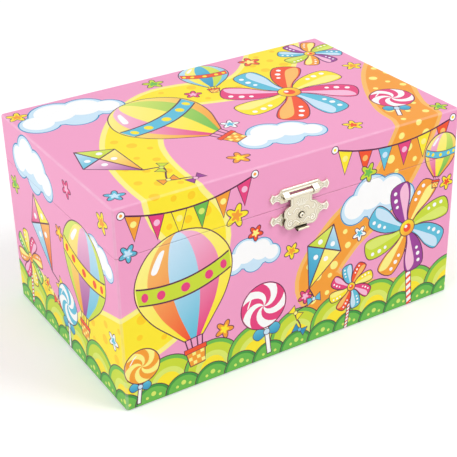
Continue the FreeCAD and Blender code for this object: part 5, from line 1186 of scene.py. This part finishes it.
# Level ovals: across, forward, height, half width and half depth.
TORSO = [(0, 0, 3.42, 0.36, 0.3), (0, 0, 3.58, 0.5, 0.39), (0, 0, 3.85, 0.47, 0.37),
         (0, 0.02, 4.3, 0.32, 0.26), (0, 0.03, 4.62, 0.37, 0.29), (0, 0.05, 4.95, 0.44, 0.33),
         (0, 0.02, 5.2, 0.46, 0.28), (0, 0, 5.4, 0.45, 0.22), (0, 0, 5.52, 0.32, 0.2),
         (0, 0, 5.62, 0.19, 0.18), (0, 0.02, 5.8, 0.15, 0.155), (0, 0.05, 6.1, 0.15, 0.16)]
LEG = [(0.17, 0.0, -0.03, 0.07, 0.08), (0.17, 0.0, 0.16, 0.095, 0.11), (0.17, 0.01, 0.4, 0.085, 0.1),
       (0.175, 0.0, 0.75, 0.105, 0.115), (0.18, -0.03, 1.25, 0.16, 0.17), (0.185, -0.04, 1.6, 0.18, 0.19),
       (0.19, 0.0, 2.0, 0.155, 0.16), (0.19, 0.02, 2.2, 0.165, 0.17), (0.195, 0.01, 2.8, 0.215, 0.22),
       (0.2, 0.0, 3.4, 0.265, 0.28), (0.2, 0.0, 3.75, 0.26, 0.28)]
# Points along an arm: across, backward and height. The radii are spread evenly along it.
ARM = [(0.38, 0.0, 5.36), (0.66, -0.05, 5.52), (1.02, -0.12, 6.1), (1.13, -0.17, 6.62), (0.98, -0.22, 7.2),
       (0.6, -0.26, 7.66), (0.34, -0.27, 7.84)]
ARM_RADII = [0.135, 0.125, 0.115, 0.105, 0.1, 0.08, 0.065]
# Round forms: the middle, across, backward and height, and then the half sizes.
HAND, EAR = ((0.27, -0.28, 7.88), (0.12, 0.065, 0.07)), ((0.46, 0.0, 6.36), (0.05, 0.08, 0.11))
SKULL, JAW = ((0, 0.0, 6.42), (0.44, 0.47, 0.5)), ((0, -0.1, 6.16), (0.31, 0.33, 0.3))
NOSE = ((0, -0.47, 6.3), (0.05, 0.06, 0.07))


def on_side(points, side):
    """Points of one side of the figure, on the side of that sign."""
    return [(side * x, *rest) for x, *rest in points]


def ringed_solid(name, rings):
    """A closed solid through rings that each have as many points."""
    sides = len(rings[0])
    faces = [tuple(range(sides))[::-1], tuple(range((len(rings) - 1) * sides, len(rings) * sides))]
    for ring in range(len(rings) - 1):
        for side in range(sides):
            a, b = ring * sides + side, ring * sides + (side + 1) % sides
            faces.append((a, b, b + sides, a + sides))
    mesh = bpy.data.meshes.new(name)
    mesh.from_pydata([tuple(point) for ring in rings for point in ring], [], faces)
    return add_object(name, mesh)


def figure_tube(name, ovals, sides=20):
    """A closed tube through level ovals."""
    turns = np.arange(sides) * 2 * math.pi / sides
    rings = []
    for x, forward, height, half_width, half_depth in ovals:
        rings.append([(x + half_width * math.cos(a), half_depth * math.sin(a) - forward, height)
                      for a in turns])
    return ringed_solid(name, rings)


def figure_limb(name, line, radii, sides=16):
    """A round limb that follows a bent line of points."""
    line = curve_through(line, 8, False)
    radii = np.interp(np.linspace(0, 1, len(line)), np.linspace(0, 1, len(radii)), radii)
    turns = np.arange(sides) * 2 * math.pi / sides
    ways = [Vector(way) for way in unit(np.gradient(line, axis=0))]
    across = ways[0].orthogonal()
    rings = []
    for place, way, radius in zip(line, ways, radii):
        across = (across - way * across.dot(way)).normalized()
        other = way.cross(across)
        rings.append([Vector(place) + (across * math.cos(a) + other * math.sin(a)) * radius for a in turns])
    return ringed_solid(name, rings)


def figure_ball(middle, half_sizes, segments=24):
    """A round form with a middle and half sizes, to be joined into a piece."""
    bpy.ops.object.select_all(action="DESELECT")
    bpy.ops.mesh.primitive_uv_sphere_add(segments=segments, ring_count=segments // 2, radius=1,
                                         location=middle, scale=half_sizes)
    bpy.ops.object.transform_apply(location=True, rotation=True, scale=True)
    return bpy.context.object


def joined(pieces, name):
    """The pieces as one, alone selected."""
    bpy.ops.object.select_all(action="DESELECT")
    for piece in pieces:
        piece.select_set(True)
    bpy.context.view_layer.objects.active = pieces[0]
    bpy.ops.object.join()
    pieces[0].name = name
    return pieces[0]


def to_stage(piece):
    """Brings a piece drawn in heads to its size and its place on the plinth."""
    piece.data.transform(Matrix.Translation((0, DANCER_Y * MM, FOOT_Z * MM)) @ Matrix.Scale(HEAD * MM, 4))
    piece.data.shade_smooth()
    return piece


limbs = [figure_tube("torso", TORSO)]
for side in (-1, 1):
    limbs.append(figure_tube("leg", on_side(LEG, side)))
    limbs.append(figure_limb("arm", on_side(ARM, side), ARM_RADII))
    for middle, half_sizes in (HAND, EAR):
        limbs.append(figure_ball(on_side([middle], side)[0], half_sizes, 12))
limbs += [figure_ball(*SKULL), figure_ball(*JAW), figure_ball(*NOSE, 12)]
figure = joined(limbs, "dancer_moulded_figure")
figure.data.remesh_voxel_size = FIGURE_VOXEL
bpy.ops.object.voxel_remesh()
apply_modifier(figure, "moulded", "SMOOTH", iterations=5)
to_stage(figure)

# Paint on moulded plastic: satin, with plain edges between the zones and a faint ripple.
PAINT_TOP, PAINT_RIPPLE_MM = 8, 0.6
ZONES = [(0.0, "EE7DB0"), (0.55, "F9E1DF"), (3.5, "E8417F"), (5.14, "F3C6A8")]
# Cheeks, eyes and lips: places across, depth, height, radius, softness of the edge and ink.
FACE_MARKS = [((-0.25, 0.25), -0.4, 6.2, 0.12, 0.1, "F29A94"),
              ((-0.165, 0.165), -0.43, 6.4, 0.068, 0.015, "3A2416"),
              ((-0.045, 0.0, 0.045), -0.43, 6.12, 0.045, 0.012, "D6405F")]
painted, tree, shader = new_material("hand_painted_plastic", Roughness=0.35, IOR=1.5, Subsurface_Weight=0.04)
coords = add_node(tree, "ShaderNodeTexCoord").outputs["Object"]
height = add_node(tree, "ShaderNodeSeparateXYZ", {"Vector": coords}).outputs["Z"]
zone = add_node(tree, "ShaderNodeMapRange", {"Value": height, "From Min": FOOT_Z * MM,
                                             "From Max": (FOOT_Z + PAINT_TOP * HEAD) * MM})
paint = add_node(tree, "ShaderNodeValToRGB", {"Fac": zone.outputs["Result"]},
                 [(level / PAINT_TOP, ink) for level, ink in ZONES])
paint.color_ramp.interpolation = "CONSTANT"
tint = paint.outputs["Color"]
for across, y, z, radius, soft, ink in FACE_MARKS:
    for x in across:
        middle = (x * HEAD * MM, (DANCER_Y + y * HEAD) * MM, (FOOT_Z + z * HEAD) * MM)
        away = add_node(tree, "ShaderNodeVectorMath", {0: coords, 1: middle}, operation="DISTANCE")
        near = add_node(tree, "ShaderNodeMapRange", {"Value": away.outputs["Value"],
                                                     "From Min": (radius + soft) * HEAD * MM,
                                                     "From Max": radius * (1 - soft) * HEAD * MM})
        mixed = add_node(tree, "ShaderNodeMix", {"Factor": near.outputs["Result"], "A": tint,
                                                 "B": linear(ink)}, data_type="RGBA")
        tint = mixed.outputs["Result"]
tree.links.new(tint, shader.inputs["Base Color"])
ripple = add_node(tree, "ShaderNodeTexNoise", {"Vector": coords, "Scale": 1 / (PAINT_RIPPLE_MM * MM)})
add_node(tree, "ShaderNodeBump", {"Height": ripple.outputs["Fac"], "Strength": 0.06, "Distance": 0.05 * MM},
         feeds=("Normal", shader.inputs["Normal"]))
finish_piece(figure, painted, "dancer", "figure_plastic", "dancer_figure")

# Plinth under the dancer's feet: a round disc with a soft edge, moulded in white plastic with the figure
# and pressed on the upper end of the coil spring.
PLINTH_R, PLINTH_EDGE = 4.0, 0.45
bpy.ops.object.select_all(action="DESELECT")
bpy.ops.mesh.primitive_cylinder_add(vertices=48, radius=PLINTH_R * MM, depth=PLINTH_HEIGHT * MM,
                                    location=(0, DANCER_Y * MM, (FOOT_Z - PLINTH_HEIGHT / 2) * MM))
bpy.ops.object.transform_apply(location=True, rotation=True, scale=True)
plinth = bpy.context.object
plinth.name = "dancer_plinth"
apply_modifier(plinth, "moulded_edge", "BEVEL", width=PLINTH_EDGE * MM, segments=3, limit_method="ANGLE")
bpy.ops.object.shade_smooth_by_angle(angle=SMOOTH_UNDER)
finish_piece(plinth, white_plastic, "dancer", "figure_plastic")

# Dancer's hair: a cap that ends along the brow and a bun, moulded with the head and painted in brown
# strands, which are drawn at 2.2 mm so that they show.
STRAND_MM = 2.2
HAIR_CAP, BUN = ((0, 0.05, 6.46), (0.485, 0.5, 0.52)), ((0, 0.33, 6.86), (0.27, 0.26, 0.25))
BROW, BROW_WAY = (0, -0.2, 6.62), (0, -0.72, -0.69)
hair_cap = figure_ball(*HAIR_CAP, 40)
bpy.ops.object.mode_set(mode="EDIT")
bpy.ops.mesh.select_all(action="SELECT")
bpy.ops.mesh.bisect(plane_co=BROW, plane_no=BROW_WAY, use_fill=True, clear_outer=True)
bpy.ops.object.mode_set(mode="OBJECT")
hair = to_stage(joined([hair_cap, figure_ball(*BUN, 32)], "dancer_hair"))
hair_paint, tree, shader = new_material("painted_hair", Roughness=0.4)
coords = add_node(tree, "ShaderNodeTexCoord").outputs["Object"]
centred = add_node(tree, "ShaderNodeMapping", {"Vector": coords, "Location": (0, -DANCER_Y * MM, 0)})
strands = add_node(tree, "ShaderNodeTexWave", {"Vector": centred.outputs["Vector"], "Detail": 2.0,
                                               "Scale": 1 / (STRAND_MM * MM), "Distortion": 2.0},
                   bands_direction="X")
add_node(tree, "ShaderNodeValToRGB", {"Fac": strands.outputs["Fac"]}, ((0, "4A2614"), (1, "7A4526")),
         ("Color", shader.inputs["Base Color"]))
add_node(tree, "ShaderNodeBump", {"Height": strands.outputs["Fac"], "Strength": 0.4, "Distance": 0.1 * MM},
         feeds=("Normal", shader.inputs["Normal"]))
finish_piece(hair, hair_paint, "dancer", "figure_plastic")

# Band of beads round the foot of the bun, moulded with it and gilded by hand.
# Gilt paint is warm and metallic, and a little uneven.
gilt = mottled_finish("gilt_paint", "D9B24A", "EBCB6C", grain_mm=0.6, Metallic=0.8, Roughness=0.35)
BAND_BEADS, BAND_R, BAND_BEAD, BAND_TILT = 15, 0.255, 0.058, math.radians(-38)
BAND_MIDDLE = Vector((0, 0.27, 6.76))
beads = []
for number in range(BAND_BEADS):
    turn = 2 * math.pi * number / BAND_BEADS
    reach = Vector((BAND_R * math.cos(turn), BAND_R * math.sin(turn), 0))
    reach.rotate(Matrix.Rotation(BAND_TILT, 3, "X"))
    beads.append(figure_ball(BAND_MIDDLE + reach, (BAND_BEAD, BAND_BEAD, BAND_BEAD), 12))
finish_piece(to_stage(joined(beads, "dancer_bun_band")), gilt, "dancer", "figure_plastic")

# Sash: a ribbon round the waist, moulded with a bow of two loops and two tails at the back, and gilded
# with the same paint.
WAIST = [(0, 0, 3.79, 0.47, 0.37), (0, 0, 3.81, 0.51, 0.405), (0, 0, 3.87, 0.505, 0.4),
         (0, 0, 3.94, 0.49, 0.385), (0, 0, 3.96, 0.45, 0.35)]
LOOP = [(0.0, 0.42, 3.9), (0.16, 0.46, 4.02), (0.3, 0.47, 3.99), (0.29, 0.47, 3.88), (0.14, 0.46, 3.86),
        (0.0, 0.43, 3.9)]
TAIL = [(0.0, 0.42, 3.9), (0.12, 0.58, 3.93), (0.2, 0.76, 3.95), (0.24, 0.96, 3.96)]
ribbon = [figure_tube("sash", WAIST, 40)]
for side in (-1, 1):
    ribbon.append(figure_limb("loop", on_side(LOOP, side), [0.04, 0.055, 0.05, 0.055, 0.04], 10))
    ribbon.append(figure_limb("tail", on_side(TAIL, side), [0.035, 0.045, 0.045, 0.05], 10))
ribbon.append(figure_ball((0, 0.45, 3.9), (0.075, 0.06, 0.07), 16))
finish_piece(to_stage(joined(ribbon, "dancer_sash")), gilt, "dancer", "figure_plastic")

# Tutu: four layers of stiff nylon net, each a full round cut gathered at the hips, so its rim ripples.
# Net is pale pink thread with open meshes, which are drawn at 0.4 mm so that they show.
TUTU_DROP, TUTU_WAIST, TUTU_SAG, TUTU_UNEVEN, MESH_MM = 0.5, 2.4, 1.1, 0.25, 0.4
TUTU_Z = node_corners("dancer_tutu")[1][2] - TUTU_DROP
RADIAL, ROUND = 14, 432
# Each layer's reach, the lift of its rim, its number of ripples and how far they swing.
LAYERS = ((12.4, 1.1, 25, 0.55), (12.2, 0.45, 28, 0.55), (11.9, -0.2, 27, 0.55), (11.3, -0.8, 24, 0.5))
tulle, tree, shader = new_material("stiff_nylon_net", Roughness=0.7, Sheen_Weight=0.5, Alpha=0.8)
coords = add_node(tree, "ShaderNodeTexCoord").outputs["Object"]
mottled(tree, shader, "F7B7D4", "FDE3EE", grain_mm=2.0, coords=coords)
meshes = add_node(tree, "ShaderNodeTexVoronoi", {"Vector": coords, "Scale": 1 / (MESH_MM * MM)},
                  feature="DISTANCE_TO_EDGE")
add_node(tree, "ShaderNodeMapRange", {"Value": meshes.outputs["Distance"], "From Min": 0.08,
                                      "From Max": 0.3, "To Min": 1.0, "To Max": 0.62},
         feeds=("Result", shader.inputs["Alpha"]))
for layer, (reach, lift, ripples, swing) in enumerate(LAYERS):
    points, faces = [], []
    for ring in range(RADIAL + 1):
        t = ring / RADIAL
        for step in range(ROUND):
            turn = 2 * math.pi * step / ROUND
            short = TUTU_UNEVEN * (1 + math.sin(5 * turn + 2 * layer)) * t
            radius = TUTU_WAIST + (reach - TUTU_WAIST - short) * t
            ripple = math.sin(ripples * turn + 1.7 * layer + 0.7 * math.sin(3 * turn + layer))
            wave = swing * t * ripple * (1 + 0.3 * math.sin(2 * turn + layer))
            z = TUTU_Z + lift * t - TUTU_SAG * t * t + wave
            points.append((radius * math.cos(turn) * MM, (DANCER_Y + radius * math.sin(turn)) * MM, z * MM))
    for ring in range(RADIAL):
        for step in range(ROUND):
            a, b = ring * ROUND + step, ring * ROUND + (step + 1) % ROUND
            faces.append((a, a + ROUND, b + ROUND, b))
    mesh = bpy.data.meshes.new("tutu_layer_%d" % (layer + 1))
    mesh.from_pydata(points, [], faces)
    mesh.shade_smooth()
    net_layer = add_object(mesh.name, mesh)
    area = sum(p.area for p in mesh.polygons)
    across = 2 * math.sqrt(area / math.pi + (TUTU_WAIST * MM) ** 2)
    finish_piece(net_layer, tulle, "dancer", "tulle", "dancer_tutu")

# Camera at the photograph's place, and a plain pale floor. The floor is matt, glows a little where it is
# seen or mirrored so that it looks white, and keeps the box's shadow.
CAMERA_PLACE, CAMERA_LENS, CAMERA_SENSOR = (-0.27579, -0.45680, 0.33467), 92.67, 36
CAMERA_WAY, CAMERA_UP = (0.44984, 0.75007, -0.48482), (0.27075, 0.40276, 0.87434)
FLOOR_SIZE, FLOOR_GLOW = 6, 0.2
camera_data = bpy.data.cameras.new("camera")
camera_data.sensor_width = CAMERA_SENSOR
camera_data.lens = CAMERA_LENS
camera_data.clip_start = 0.01
camera = add_object("camera", camera_data)
bpy.context.scene.camera = camera
view_way = Vector(CAMERA_WAY).normalized()
view_right = view_way.cross(Vector(CAMERA_UP)).normalized()
view_up = view_right.cross(view_way)
turned = Matrix((view_right, view_up, -view_way)).transposed().to_4x4()
camera.matrix_world = Matrix.Translation(CAMERA_PLACE) @ turned


def seen_or_mirrored(tree):
    """1 for what the camera sees, straight or through a reflection or glass, and 0 for light on things."""
    path = add_node(tree, "ShaderNodeLightPath")
    seen = path.outputs["Is Camera Ray"]
    for ray in ("Is Glossy Ray", "Is Transmission Ray"):
        either = add_node(tree, "ShaderNodeMath", {0: seen, 1: path.outputs[ray]}, operation="MAXIMUM")
        seen = either.outputs["Value"]
    return seen


bpy.ops.mesh.primitive_plane_add(size=FLOOR_SIZE, location=(0, 0, 0))
floor = bpy.context.object
floor.name = "floor"
floor_paint, tree, shader = new_material("matt_white_floor", Roughness=0.9, Base_Color=linear("F4F4F4"),
                                         Emission_Color=linear(WHITE))
add_node(tree, "ShaderNodeMath", {0: seen_or_mirrored(tree), 1: FLOOR_GLOW},
         feeds=("Value", shader.inputs["Emission Strength"]), operation="MULTIPLY")
floor.data.materials.append(floor_paint)

# Plain studio light: a white world that is full white where it is seen or mirrored and dimmer as light, and
# three soft round lamps, the main one in front on the right, one on the left and one behind.
WORLD_LIGHT = 0.6
world = bpy.data.worlds.new("studio")
bpy.context.scene.world = world
world.use_nodes = True
tree = world.node_tree
background = tree.nodes["Background"]
background.inputs["Color"].default_value = linear(WHITE)
add_node(tree, "ShaderNodeMapRange", {"Value": seen_or_mirrored(tree), "To Min": WORLD_LIGHT, "To Max": 1.0},
         feeds=("Result", background.inputs["Strength"]))
LAMP_AIM = Vector((0, 0, 0.05))
LAMPS = [("key_lamp", (0.7, -0.9, 1.4), 0.7, 11.6), ("left_lamp", (-1.4, -0.3, 0.8), 1.2, 4.5),
         ("back_lamp", (-0.8, 1.2, 0.45), 1.0, 5.5)]
for name, place, size, watts in LAMPS:
    lamp_data = bpy.data.lights.new(name, "AREA")
    lamp_data.shape = "DISK"
    lamp_data.size = size
    lamp_data.energy = watts
    lamp = add_object(name, lamp_data)
    lamp.location = place
    lamp.rotation_euler = (LAMP_AIM - Vector(place)).to_track_quat("-Z", "Y").to_euler()

bpy.context.scene.view_settings.view_transform = "Standard"
